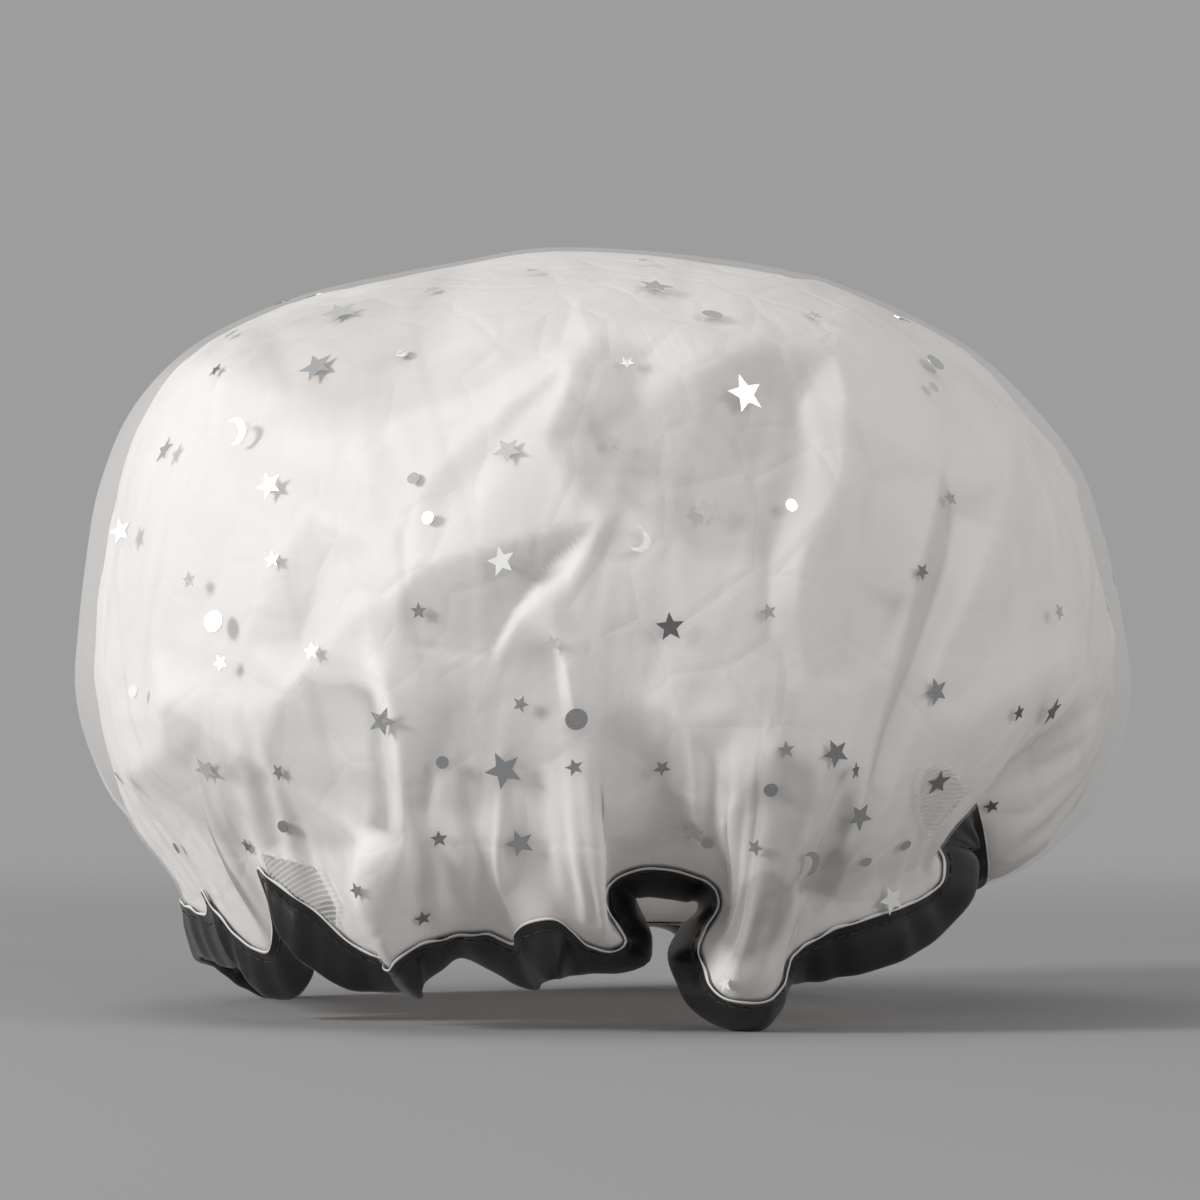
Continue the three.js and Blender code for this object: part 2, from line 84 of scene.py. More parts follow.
# The grain of the fine meshes: columns round the rim, and rows from the crown to the seam.
COLUMNS = 680
ROWS = 145

# Points between two levels of the dome, and from its lowest level to the seam.
DOME_STEPS = 10
SKIRT_STEPS = 46

# The tape, its elastic and its seam. None of their points lies nearer to the ground than the gap.
TAPE_WIDTH = 15
TAPE_WALL = 0.35
TAPE_FOLD = 1.2
SEAM_INSET = 3
SEAM_OUT = 0.8
ELASTIC_WIDTH = 7
ELASTIC_WALL = 0.6
ELASTIC_INSET = 2.4
GROUND_GAP = 0.05

# The section of the film's trimmed edge along the tape, as [down, out] pairs.
FILM_EDGE = [(-0.15, 0.68), (0.4, 0.94), (0.4, 1.06), (-0.15, 0.8)]

# How far the net and the film start outside the dome, and the reach of their hems inside the tape.
NET_OUT = 0.15
FILM_OUT = -0.25
HEM_START = 1.5
HEM_DEPTH = 4.2

# The film keeps this far inside the net, and hangs free of it at the left and right sides. Past the
# full veil, no more of the net shows. Where the film pushes the net out, the net bends this softly.
FILM_BEHIND = 0.4
LEFT_INSET = 3.4
RIGHT_INSET = 2
FULL_VEIL = 1.8
NET_SOFTNESS = 0.3

# How many neighbouring points the net spans from crest to crest, and is smoothed over. The mean over
# the widest reach comes off both sheets, so that the cap keeps its size.
SPAN_REACH = 16
DRAPE_REACH = 12
MEAN_REACH = 60
DEEPEST_DRAPE = -0.8
HIGHEST_DRAPE = 5

# The net's threads lie this far apart on the flat disc. A thread takes up a share of that.
NET_PITCH = 1.3
THREAD_SHARE = 0.36
THREAD_BLUR = 0.06

# The sewn edge along the front: pixel across and down, depth as a share of the half depth, then the
# way the tape hangs: right, down and away.
FRONT_RIM = [
    (189, 904, 0.13, 10, 55, 14),
    (183, 898, 0.03, 16, 57, 4),
    (188, 903, -0.1, 23, 56, 0),
    (209, 911, -0.23, 26, 53, -4),
    (209, 899, -0.295, 26, 50, -14),
    (204, 888, -0.35, 22, 54, -4),
    (217, 907, -0.39, 22, 55, 4),
    (235, 929, -0.425, 20, 54, 14),
    (253, 944, -0.46, 12, 50, 26),
    (268, 949, -0.495, 12, 46, 30),
    (273, 930, -0.525, 26, 38, 20),
    (270, 900, -0.555, 28, 46, 4),
    (260, 866, -0.6, 22, 54, 2),
    (267, 871, -0.65, 16, 56, 2),
    (287, 889, -0.68, 8, 58, 2),
    (317, 910, -0.69, 0, 57, 8),
    (345, 935, -0.7, 0, 48, 28),
    (369, 950, -0.715, 8, 36, 44),
    (388, 956, -0.735, 16, 32, 44),
    (385, 964, -0.775, 22, 28, 44),
    (390, 966, -0.82, 24, 26, 44),
    (395, 957, -0.85, 20, 30, 42),
    (406, 948, -0.85, 12, 38, 38),
    (421, 941, -0.825, -2, 42, 36),
    (438, 936, -0.805, -3, 30, 48),
    (455, 932, -0.79, 2, 22, 54),
    (473, 931, -0.785, 3, 27, 52),
    (489, 930, -0.79, 6, 40, 38),
    (503, 936, -0.8, 10, 42, 30),
    (515, 941, -0.82, 13, 38, 32),
    (517, 930, -0.855, 16, 40, 24),
    (530, 920, -0.885, 14, 47, 6),
    (549, 917, -0.89, 8, 51, 4),
    (567, 927, -0.865, 4, 40, 34),
    (588, 942, -0.83, 3, 24, 50),
    (611, 947, -0.81, 8, 22, 52),
    (623, 940, -0.8, 22, 22, 46),
    (616, 927, -0.79, 34, 16, 42),
    (606, 915, -0.785, 38, 11, 42),
    (602, 900, -0.785, 36, 10, 44),
    (605, 886, -0.785, 28, 14, 47),
    (615, 875, -0.785, 18, 21, 49),
    (633, 867, -0.785, 6, 28, 50),
    (661, 865, -0.78, 0, 33, 48),
    (693, 872, -0.77, -6, 27, 50),
    (709, 879, -0.765, -12, 20, 52),
    (720, 890, -0.76, -18, 13, 52),
    (722, 903, -0.76, -20, 8, 52),
    (717, 917, -0.765, -21, 4, 51),
    (708, 930, -0.77, -23, 0, 50),
    (702, 943, -0.78, -27, 2, 48),
    (706, 963, -0.805, -30, 8, 46),
    (714, 984, -0.85, -22, 18, 49),
    (727, 995, -0.875, -7, 28, 50),
    (749, 999, -0.88, 0, 34, 48),
    (768, 996, -0.865, -2, 30, 50),
    (779, 985, -0.835, -2, 24, 51),
    (788, 957, -0.75, 2, 25, 50),
    (799, 945, -0.7, 2, 31, 47),
    (829, 928, -0.665, 3, 47, 30),
    (872, 914, -0.615, 6, 53, 14),
    (915, 898, -0.53, 14, 38, 38),
    (930, 889, -0.495, 23, 30, 40),
    (940, 878, -0.48, 34, 14, 42),
    (942, 864, -0.47, 36, 4, 44),
    (931, 839, -0.44, 36, 6, 44),
    (945, 818, -0.4, 30, 26, 38),
    (959, 799, -0.355, 16, 46, 24),
    (970, 797, -0.3, -2, 54, 14),
    (979, 815, -0.255, -20, 46, 24),
    (987, 846, -0.2, -38, 26, 34),
    (988, 875, -0.12, -48, 12, 32),
]

# The same edge round the back, as shares of the half width, the half depth and the height.
BACK_RIM = [
    (0.7, 0.01, 0.16, -54, 12, 14),
    (0.68, 0.13, 0.165, -52, 24, 0),
    (0.655, 0.24, 0.172, -40, 42, -6),
    (0.62, 0.35, 0.175, -16, 54, -4),
    (0.545, 0.46, 0.158, -4, 56, 8),
    (0.46, 0.55, 0.135, 4, 56, 4),
    (0.37, 0.62, 0.1, 4, 58, -2),
    (0.29, 0.655, 0.0755, 0, 60, 4),
    (0.215, 0.675, 0.092, -2, 36, 40),
    (0.14, 0.7, 0.095, 0, 2, 58),
    (0.045, 0.715, 0.096, 0, -4, 58),
    (-0.06, 0.7, 0.108, 0, 26, 48),
    (-0.17, 0.675, 0.135, 0, 46, 30),
    (-0.28, 0.66, 0.16, -2, 54, 2),
    (-0.385, 0.62, 0.185, 2, 54, -14),
    (-0.47, 0.55, 0.155, 6, 56, 2),
    (-0.56, 0.49, 0.125, 4, 58, 4),
    (-0.63, 0.43, 0.0765, 0, 60, 0),
    (-0.7, 0.34, 0.095, -2, 59, 0),
    (-0.76, 0.24, 0.125, 4, 56, 6),
]

# The main folds of the front: the pixels at both ends, then how wide and how proud the fold stands.
MAIN_FOLDS = [
    (745, 950, 960, 470, 15, 3),
    (700, 930, 838, 330, 15, 1.8),
    (770, 960, 900, 660, 10, -1.8),
    (830, 920, 1010, 640, 10, 1.8),
    (385, 930, 400, 620, 15, 3),
    (345, 920, 350, 760, 10, -1.8),
    (400, 640, 620, 350, 15, 1.8),
    (470, 920, 595, 535, 15, 1.8),
    (150, 860, 235, 400, 15, 1.8),
    (610, 900, 560, 650, 10, 1.8),
]
BACK_PLEATS = 22
BACK_PLEAT_PROUD = 2.2

# Long creases of the film that chance draws round the cap.
FAN_CREASES = 66

# The film's facets by chance, from large to small: how many, how far down in radians, how proud, how much
# of them the front loses, and how much of them is left at the crown. The largest lie between pleats.
CHANCE_FACETS = [
    (26, 0.7, 1.6, 0.75, 0.4),
    (210, 2.4, 2.2, 0.85, 0.35),
    (1500, 2.4, 0.45, 0.7, 1),
]
CHANCE_PROUD = 0.8
FILM_PLEATS = 17
FILM_PLEAT_PROUD = 2.3

# The gathers at the rim are a sum of waves, so many round it.
GATHER_WAVES = (58, 71, 83, 97)
GATHER_HEIGHT = 2.4

# The film's fold lines on the front, in pixels across and down with the height of each point. The film
# is flat between neighbouring lines. First the crests and valleys of the left half, then the right.
FILM_LINES = [
    [(680, 300, 0.3), (625, 325, 1), (575, 355, 2), (510, 405, 3.6), (446, 461, 5), (421, 492, 5.2),
     (416, 560, 5), (397, 603, 4.6), (366, 607, 4.6), (309, 655, 2.8), (300, 672, 2.8)],
    [(300, 672, 2.8), (272, 705, 3.2), (262, 745, 2.6), (266, 775, 1.4)],
    [(400, 500, 4.2), (364, 587, 3.6), (366, 607, 4.6)],
    [(575, 355, 2), (565, 395, 3), (545, 440, 3.6), (500, 482, 4.2), (440, 545, 4.8), (416, 569, 5.2)],
    [(558, 374, 1.8), (500, 437, 3), (448, 500, 3.9)],
    [(416, 569, 5.2), (500, 545, 4.6), (577, 523, 4.4), (603, 523, 4.4), (640, 505, 2)],
    [(596, 527, 4), (552, 563, 1.2), (512, 613, 1), (488, 655, 0.6)],
    [(603, 527, 4.4), (568, 582, 3.6), (517, 615, 2.6), (496, 657, 1)],
    [(517, 615, 2.6), (550, 640, 2.2), (562, 652, 2.6), (572, 705, 2), (582, 740, 1)],
    [(554, 655, 0.8), (560, 705, 0.4)],
    [(602, 545, 2.4), (592, 620, 1.6), (590, 680, 1.2)],
    [(120, 730, 1), (167, 698, 4.8), (205, 708, 3.6), (262, 712, 3.2)],
    [(167, 698, 4.8), (160, 752, 2.8), (125, 776, 2.6), (128, 815, 0.8)],
    [(167, 698, 4.8), (200, 725, 3.4), (217, 750, 3.2), (236, 800, 2.8), (258, 858, 1)],
    [(200, 725, 3.4), (240, 752, 3), (300, 793, 2.4), (352, 830, 1.8), (367, 838, 2.4)],
    [(178, 765, 0.8), (205, 830, 0.2)],
    [(236, 778, 1.2), (285, 830, 0.3), (320, 870, 0.2)],
    [(372, 700, 0.8), (382, 760, 0.4), (384, 825, 0.4)],
    [(366, 607, 4.6), (374, 650, 3.8), (380, 690, 3.2), (397, 730, 3.6), (401, 790, 3.6), (405, 850, 3),
     (410, 905, 1.4)],
    [(367, 838, 2.4), (363, 870, 2.8), (362, 900, 2.6), (366, 930, 1)],
    [(340, 850, 0.3), (342, 900, 0.4)],
    [(455, 700, 0.8), (425, 800, 0.6), (430, 880, 0.3)],
    [(430, 650, 1), (470, 640, 0.8)],
    [(437, 760, 1), (440, 800, 2), (447, 850, 2.2), (460, 905, 1)],
    [(478, 780, 0.5), (490, 830, 1.8), (497, 880, 1.8)],
    [(520, 740, 0.6), (525, 830, 0.3), (525, 890, 0.2)],
    [(582, 740, 1), (557, 775, 0.6), (552, 850, 0.4), (556, 900, 0.4)],
    [(612, 760, 1.4), (604, 800, 2.4), (600, 850, 2)],
    [(280, 405, 0), (400, 372, 1.8), (500, 330, 2.4), (600, 288, 1.6)],
    [(330, 440, 2), (400, 405, 1.2), (480, 378, 1.2), (560, 335, 0.6)],
    [(222, 368, 2.6), (215, 409, 2.6), (195, 480, 2), (165, 560, 1.6), (140, 640, 0.8)],
    [(250, 420, 0.4), (235, 500, 0.2), (200, 600, 0.2)],
    [(325, 480, 1.2), (290, 540, 2), (255, 610, 2.2), (225, 670, 1.4)],
    [(320, 560, 0.8), (290, 640, 0.6)],
    [(600, 430, 0.4), (640, 470, 0.4), (700, 480, 0)],
    [(640, 400, 0.8), (700, 365, 2.4), (760, 342, 2.6), (838, 350, 2.8), (890, 345, 1.4)],
    [(838, 350, 2.8), (846, 400, 3.4), (843, 480, 3.8), (822, 520, 3.6), (803, 545, 3.2), (798, 600, 2.6),
     (803, 680, 1.2)],
    [(798, 398, 0.8), (800, 460, 0.8), (768, 560, 0.4), (768, 640, 0.2)],
    [(880, 470, 0.4), (860, 570, 0.4), (840, 660, 0.4)],
    [(700, 560, 0.6), (660, 640, 0.4), (700, 690, 0.2)],
    [(948, 465, 2.2), (930, 520, 3), (905, 600, 3.2), (895, 640, 3.2), (880, 720, 2.8), (866, 790, 1.8),
     (845, 850, 1)],
    [(962, 510, 0.8), (947, 575, 0.4), (924, 640, 0.3), (900, 708, 0.2), (878, 780, 0.2), (850, 855, 0),
     (815, 905, 0)],
    [(1035, 415, 1.6), (1012, 445, 2.8), (1008, 490, 3.2), (998, 530, 3.4), (976, 578, 3.4),
     (942, 645, 3.2), (922, 695, 3), (903, 745, 2.6), (884, 795, 2.2), (860, 848, 1.6), (828, 898, 0.8)],
    [(1055, 470, 0.4), (1040, 560, 0.6), (1000, 640, 1), (960, 690, 1)],
    [(1108, 642, 0.8), (1060, 668, 1.6), (1010, 690, 2.2), (965, 722, 2.4), (935, 757, 1.8),
     (920, 800, 0.8)],
    [(1098, 668, 0.6), (1050, 722, 1), (990, 790, 0.8)],
    [(1092, 730, 2), (1050, 800, 2), (1000, 850, 1)],
    [(640, 695, 0.4), (665, 703, 1.4), (685, 725, 2), (694, 760, 2.2), (697, 800, 2.2), (699, 850, 2),
     (712, 885, 1)],
    [(640, 740, 0.3), (670, 800, 0.4), (670, 840, 0.2)],
    [(712, 760, 0.2), (712, 830, 0.4)],
    [(770, 757, 2.4), (745, 785, 2), (725, 840, 1.8), (716, 885, 1.2)],
    [(745, 695, 0.4), (765, 722, 1.2), (785, 745, 1.8), (793, 775, 1.8), (793, 830, 1.6), (770, 880, 1.4),
     (757, 912, 0.8)],
    [(765, 800, 0.4), (752, 850, 0.2), (735, 900, 0.4)],
    [(895, 605, 1), (850, 700, 2), (823, 765, 2.4), (805, 830, 2), (780, 890, 1.4)],
    [(855, 790, 0.2), (828, 850, -1.2), (808, 895, -1)],
    [(598, 905, 1), (603, 880, 1.8), (622, 858, 2), (645, 848, 2), (685, 850, 1.8)],
    [(615, 885, 0.6), (640, 864, 0.6), (680, 864, 0.6)],
]

# Painted shade and painted light on the front of the film: patches where its colour is painted greyer (below
# zero) or whiter (above zero), standing in for the shading of its facets. How much, over how many pixels the
# edge fades, and the corners.
FILM_PAINTED_TONES = [
    (-0.75, 6, [(300, 675), (345, 680), (372, 690), (392, 722), (400, 780), (388, 832), (352, 828),
                (300, 793), (266, 770), (262, 745), (272, 705)]),
    (-0.6, 5, [(416, 569), (500, 546), (577, 524), (600, 524), (552, 563), (512, 613), (488, 655),
               (430, 650), (400, 640), (398, 603)]),
    (-0.65, 12, [(383, 690), (400, 640), (430, 652), (488, 657), (517, 615), (550, 640), (560, 705),
                 (556, 760), (480, 810), (410, 810), (400, 730)]),
    (-0.5, 6, [(167, 698), (200, 725), (217, 750), (236, 800), (250, 850), (200, 840), (150, 800),
               (125, 776), (160, 752)]),
    (-0.5, 6, [(200, 725), (240, 752), (300, 793), (352, 830), (367, 838), (340, 850), (262, 850),
               (236, 800), (217, 750)]),
    (-0.65, 30, [(195, 342), (300, 300), (400, 276), (450, 270), (430, 345), (390, 400), (330, 430),
                 (290, 400), (222, 368)]),
    (-0.15, 22, [(430, 276), (520, 258), (600, 262), (560, 320), (460, 380), (400, 405)]),
    (-0.6, 12, [(575, 355), (600, 335), (650, 345), (640, 400), (600, 430), (640, 505), (603, 523),
                (545, 440), (565, 395)]),
    (-0.6, 16, [(640, 400), (700, 365), (760, 342), (838, 350), (800, 400), (800, 460), (768, 560),
                (700, 560), (640, 505), (600, 430)]),
    (0.4, 6, [(838, 350), (846, 400), (843, 480), (822, 520), (803, 545), (798, 600), (803, 680),
              (790, 690), (768, 600), (770, 560), (806, 500), (812, 440), (803, 398)]),
    (-0.6, 5, [(948, 465), (962, 510), (947, 575), (924, 640), (900, 708), (878, 780), (866, 790),
               (880, 720), (895, 640), (905, 600), (930, 520)]),
    (0.5, 5, [(962, 510), (998, 530), (976, 578), (942, 645), (922, 695), (903, 745), (884, 795),
              (878, 780), (900, 708), (924, 640), (947, 575)]),
    (0.5, 4, [(603, 525), (568, 582), (517, 615), (496, 657), (488, 655), (512, 613), (552, 563)]),
    (0.4, 6, [(366, 607), (374, 650), (380, 690), (397, 730), (401, 790), (405, 850), (398, 850),
              (385, 790), (378, 735), (368, 690), (360, 650)]),
    (-1.4, 16, [(722, 905), (745, 890), (770, 880), (800, 905), (785, 940), (760, 960), (735, 965),
                (715, 940)]),
    (-1, 8, [(806, 895), (835, 850), (850, 800), (862, 790), (850, 850), (840, 900)]),
    (-0.6, 14, [(715, 780), (760, 750), (800, 760), (850, 770), (835, 850), (800, 900), (722, 890)]),
    (-0.4, 12, [(750, 690), (800, 690), (815, 800), (790, 900), (752, 900)]),
    (1.2, 14, [(1098, 668), (1050, 722), (985, 795), (1000, 850), (1060, 800), (1100, 720)]),
    (-0.5, 8, [(645, 700), (685, 725), (694, 760), (697, 845), (620, 850), (585, 800), (600, 720)]),
]

# The film's plain height round the front's lines.
FILM_BORDER = [
    (70, 560), (90, 460), (140, 370), (250, 290), (400, 262), (540, 246), (700, 252), (850, 285),
    (960, 350), (1060, 430), (1110, 560), (1125, 660), (1100, 780), (1000, 880), (940, 900), (860, 925),
    (790, 950), (750, 990), (700, 940), (650, 868), (590, 940), (500, 945), (400, 960), (300, 930),
    (240, 900), (190, 900), (130, 850), (80, 720),
]

# Points along a fold line lie this many pixels apart, and its heights are scaled by this.
LINE_STEP = 9
FACET_PROUD = 1.3

# The film's painted shade and light fade out over this many millimetres towards the back, and end at this
# depth.
PAINTED_TONES_FADE = 40
PAINTED_TONES_END = 25

# Fine folds of the net on the front: the width of a fold's slopes, then pixels across and down with the
# height of each point.
NET_CREASES = [
    (4, [(222, 368, 0), (220, 409, 0.7), (198, 471, 0.9), (167, 550, 1), (133, 643, 1), (109, 707, 0.9),
         (121, 793, 0.9), (150, 860, 0)]),
    (3, [(262, 400, 0), (240, 480, 0.6), (215, 560, 0.6), (196, 640, 0)]),
    (4, [(964, 508, 0), (938, 600, 1), (900, 708, 1.2), (872, 797, 1.2), (820, 890, 0.8)]),
    (3, [(911, 583, 0), (880, 690, 0.8), (838, 790, 0.9), (790, 900, 0.5)]),
    (3, [(694, 780, 0), (702, 840, 0.8), (716, 890, 0)]),
    (4, [(430, 500, 0), (408, 580, 0.8), (390, 650, 0.9), (392, 760, 0.8), (394, 900, 0.4)]),
    (4, [(600, 530, 0), (540, 590, 0.8), (506, 630, 0.8), (495, 700, 0)]),
    (3, [(1107, 600, 0), (1043, 675, 0.8), (960, 725, 0.9), (930, 770, 0.4)]),
]

NET_CREASE_PROUD = 0.99
NET_CREASE_SHARPNESS = 1.1

# The notches in the film's edge behind which only the net is left, as pixels in clockwise order.
FILM_NOTCHES = [
    [(261, 853), (337, 873), (336, 908), (347, 930), (300, 905), (272, 880)],
    [(926, 768), (950, 770), (968, 792), (929, 836), (920, 812), (920, 785)],
]

# How near a notch's border, in metres, faces are cut; how far past it, by the cross product of its
# pixels, the net counts as bare; and the veil of bare net.
NOTCH_SPARE = 0.004
NOTCH_BORDER = -120
BARE_NET = 2

# The sizes of the foils, and small ones that only this model has: kind, pixel across and down, turn.
FOIL_SIZES = {"star_big": 4.6, "star_mid": 3.5, "star_small": 2.1, "dot_small": 1.5, "moon": 3}
FOIL_WALL = 0.2
FOIL_GAP = 0.05
FOIL_STEP = 0.8
STAR_WAIST = 0.44
MOON_BITE = 0.86
MOON_SHIFT = 0.5
STRAY_FOILS = [
    ("star_small", 727, 981, 12), ("star_mid", 887, 896, 30), ("star_small", 432, 291, 8),
    ("star_small", 531, 272, 20), ("star_small", 231, 335, 40), ("dot_small", 403, 355, 0),
    ("star_mid", 125, 532, 25), ("star_small", 190, 580, 10), ("star_small", 814, 316, 0),
    ("star_small", 627, 364, 33), ("star_small", 521, 704, 50), ("star_small", 357, 890, 15),
    ("star_small", 785, 750, 5), ("star_mid", 859, 816, 45), ("star_small", 991, 805, 22),
    ("dot_small", 905, 844, 0), ("dot_small", 707, 842, 0), ("star_mid", 938, 782, 8),
    ("dot_small", 177, 847, 0), ("star_small", 248, 845, 60), ("dot_small", 414, 479, 0),
    ("star_small", 552, 643, 18), ("moon", 809, 863, 200), ("dot_small", 136, 691, 0),
    ("star_small", 216, 371, 70), ("dot_small", 641, 262, 0), ("star_small", 902, 321, 12),
    ("dot_small", 933, 388, 0), ("star_small", 120, 776, 35), ("dot_small", 144, 865, 0),
    ("star_small", 421, 916, 28), ("dot_small", 865, 860, 0), ("star_small", 756, 847, 44),
]
BACK_FOILS = 34

# In metres: how far outside the cap foils at the back are thrown from, and how far above the net, and
# over what length, the net is looked for under a foil.
THROW_FROM = 0.4
PRESS_FROM = 0.012
PRESS_REACH = 0.03

# The painted reflection of some foils, by the pixel of each: a darker tint and more metal stand in for a
# dark reflection at 0, up to a pale dull face at 1 that stands in for a bright one.
FOIL_PAINTED_REFLECTIONS = [
    (318, 369, 0.5), (167, 452, 0.55), (707, 512, 0.75), (508, 452, 0.75), (611, 445, 0.7),
    (432, 291, 0.7), (531, 272, 0.7), (231, 335, 0.6), (403, 355, 0.45), (190, 580, 0.55),
    (814, 316, 0.75), (627, 364, 0.6), (273, 560, 0.5), (222, 662, 0.5), (414, 479, 0.6), (641, 262, 0.7),
    (933, 388, 0.7), (552, 643, 0.7), (120, 776, 0.6), (342, 320, 0.65), (655, 287, 0.6), (768, 612, 0.5),
    (1058, 612, 0.5), (711, 321, 0.6), (935, 363, 0.55), (207, 767, 0.6), (902, 321, 0.4),
    (947, 500, 0.4), (144, 865, 0.5), (136, 691, 0.5), (691, 830, 0.55), (670, 627, 0), (1040, 707, 0),
    (834, 753, 0.1), (991, 805, 0), (938, 782, 0.1), (421, 916, 0), (248, 845, 0), (770, 790, 0.1),
    (662, 766, 0.1), (437, 836, 0.1), (859, 816, 0.15), (1010, 710, 0), (851, 770, 0), (919, 572, 0.1),
    (865, 860, 0.6), (905, 844, 0.5), (707, 842, 0.4),
]
# How near a listed pixel a foil takes that painted reflection, and the plain painted reflection of other
# foils.
PAINTED_REFLECTION_REACH = 12
PLAIN_PAINTED_REFLECTION = 0.25

# Foils that catch a lamp, by the pixel at which each is seen, and the ways to the lamps. They are turned to
# a lamp and also take the palest painted reflection, a painted highlight.
BRIGHT_FOILS = [
    (237, 434), (270, 487), (212, 620), (311, 650), (125, 532), (430, 519), (502, 563), (638, 538),
    (744, 402), (791, 507), (727, 981), (887, 896), (136, 691),
]
BRIGHT_REACH = 14
LAMP_WAYS = [(-1.8, -0.75, 0.7), (1.7, -1.3, 0.8)]

# The soft lamps: name, place and size in metres, and watts.
LAMPS = [
    ("key_lamp", (-1.8, -0.75, 0.8), 0.5, 35),
    ("side_lamp", (1.7, -1.3, 0.9), 0.7, 10.5),
    ("top_lamp", (-0.4, 0.1, 1.9), 0.7, 4),
]

# The plain background that the eye sees, the even light from it, and the floor.
BACKGROUND = (0.337, 0.337, 0.337)
FILL_LIGHT = (0.52, 0.52, 0.52)
FLOOR_TINT = (0.31, 0.31, 0.31)

SEED = 7

# The sewn edge at every column: points, the ways the tape hangs and faces, turns, and the gathers.
Rim = namedtuple("Rim", "place hang face turn gather")


def unit(vectors):
    """The same vectors at length one."""
    return vectors / np.maximum(np.linalg.norm(vectors, axis=-1, keepdims=True), 1e-9)


def smooth(share):
    """0 to 1 with level ends."""
    share = np.clip(share, 0, 1)
    return share * share * (3 - 2 * share)


def in_pairs(corners):
    """Each corner with the next one, in a loop."""
    return zip(corners, corners[1:] + corners[:1])


def from_view(pixel_x, pixel_y, depth):
    """A point of the cap from its pixel in the front view and its depth."""
    spread = 1 + depth / VIEW_DISTANCE
    return np.array([
        (pixel_x - MID_PIXEL_X) * ACROSS_PER_PIXEL * spread,
        depth,
        EYE_HEIGHT + (EYE_PIXEL_Y - pixel_y) * UP_PER_PIXEL * spread,
    ])


def to_view(points):
    """The pixels of the front view at which points are seen."""
    spread = 1 + points[..., 1] / VIEW_DISTANCE
    return np.stack([
        MID_PIXEL_X + points[..., 0] / ACROSS_PER_PIXEL / spread,
        EYE_PIXEL_Y - (points[..., 2] - EYE_HEIGHT) / UP_PER_PIXEL / spread,
    ], axis=-1)


def curve(t, span, start, end, start_slope, end_slope):
    """Values on a smooth curve between two values with their slopes, at the share t of its span."""
    return (
        (2 * t**3 - 3 * t**2 + 1) * start + (t**3 - 2 * t**2 + t) * span * start_slope
        + (3 * t**2 - 2 * t**3) * end + (t**3 - t**2) * span * end_slope
    )


def closed_spline(knots, length, values, spots):
    """Values at spots along a closed loop, on a smooth curve through the values at its knots."""
    gap = np.diff(np.append(knots, length))
    slope = (np.roll(values, -1, axis=0) - values) / gap[:, None]
    gap_before = np.roll(gap, 1)
    slope_before = np.roll(slope, 1, axis=0)
    tangent = (slope_before * gap[:, None] + slope * gap_before[:, None]) / (gap + gap_before)[:, None]
    i = np.searchsorted(knots, spots, side="right") - 1
    j = (i + 1) % len(knots)
    t = ((spots - knots[i]) / gap[i])[:, None]
    return curve(t, gap[i][:, None], values[i], values[j], tangent[i], tangent[j])


def rim_stations():
    """Places, hangs and turns of the sewn edge's stations, in a loop."""
    places = [from_view(x, y, depth * CAP_DEPTH / 2) for x, y, depth, *hang in FRONT_RIM]
    half = np.array([CAP_WIDTH / 2, CAP_DEPTH / 2, CAP_HEIGHT])
    places = np.array(places + [np.array(row[:3]) * half for row in BACK_RIM])
    drawn = unit(np.array([(row[3], row[5], -row[4]) for row in FRONT_RIM + BACK_RIM], float))
    run = unit(np.roll(places, -1, axis=0) - np.roll(places, 1, axis=0))
    skew = np.sum(drawn * run, axis=1, keepdims=True)
    level = unit(drawn + run * (np.clip(skew, -0.5, 0.5) - skew))
    hangs = unit(2 * level + np.roll(level, -1, axis=0) + np.roll(level, 1, axis=0))
    turns = np.unwrap(np.arctan2(places[:, 1] / CAP_DEPTH, places[:, 0] / CAP_WIDTH))
    for _ in range(40):
        before = np.append(turns[-1] - 2 * math.pi, turns[:-1])
        after = np.append(turns[1:], turns[0] + 2 * math.pi)
        turns = (before + 2 * turns + after) / 4
    return places, hangs, turns


def fine_rim():
    """The sewn edge at every column, on smooth curves through its stations."""
    places, hangs, turns = rim_stations()
    gaps = np.linalg.norm(np.roll(places, -1, axis=0) - places, axis=1)
    knots = np.append(0, np.cumsum(gaps)[:-1])
    length = gaps.sum()
    spots = np.arange(COLUMNS) * length / COLUMNS
    place = closed_spline(knots, length, places, spots)
    hang = unit(closed_spline(knots, length, hangs, spots))
    spare = (turns - 2 * math.pi * knots / length)[:, None]
    turn = closed_spline(knots, length, spare, spots)[:, 0] + 2 * math.pi * spots / length
    middle = place + hang * TAPE_WIDTH / 2
    face = unit(np.cross(hang, np.roll(middle, -1, axis=0) - np.roll(middle, 1, axis=0)))
    for _ in range(3):
        face = unit(2 * face + np.roll(face, 1, axis=0) + np.roll(face, -1, axis=0))
    return Rim(place, hang, face, turn, gather_field(spots, length))


def dome_ring(turn, height, left, right, front, back):
    """The points of the dome at a height, one at each turn, from the shares of its reach."""
    c, s = np.cos(turn), np.sin(turn)
    reach = np.where(c > 0, right, left) * c * c + np.where(s > 0, back, front) * s * s
    shift = (1 - reach) * CROWN_SHIFT
    return np.stack([
        reach * c * CAP_WIDTH / 2 + shift,
        reach * s * CAP_DEPTH / 2,
        np.full_like(turn, height * CAP_HEIGHT),
    ], axis=-1)


def open_spline(knots, values, first, last, steps):
    """Points on smooth curves through rings of values, with the given slopes at both ends."""
    gap = np.diff(knots)
    slope = np.diff(values, axis=0) / gap[:, None, None]
    before, after = gap[:-1, None, None], gap[1:, None, None]
    inner = (slope[:-1] * after + slope[1:] * before) / (before + after)
    tangent = np.concatenate([first[None], inner, last[None]])
    rings = []
    for i, span in enumerate(gap):
        ends = values[i], values[i + 1], tangent[i], tangent[i + 1]
        rings += [curve(step / steps, span, *ends) for step in range(steps)]
    return rings


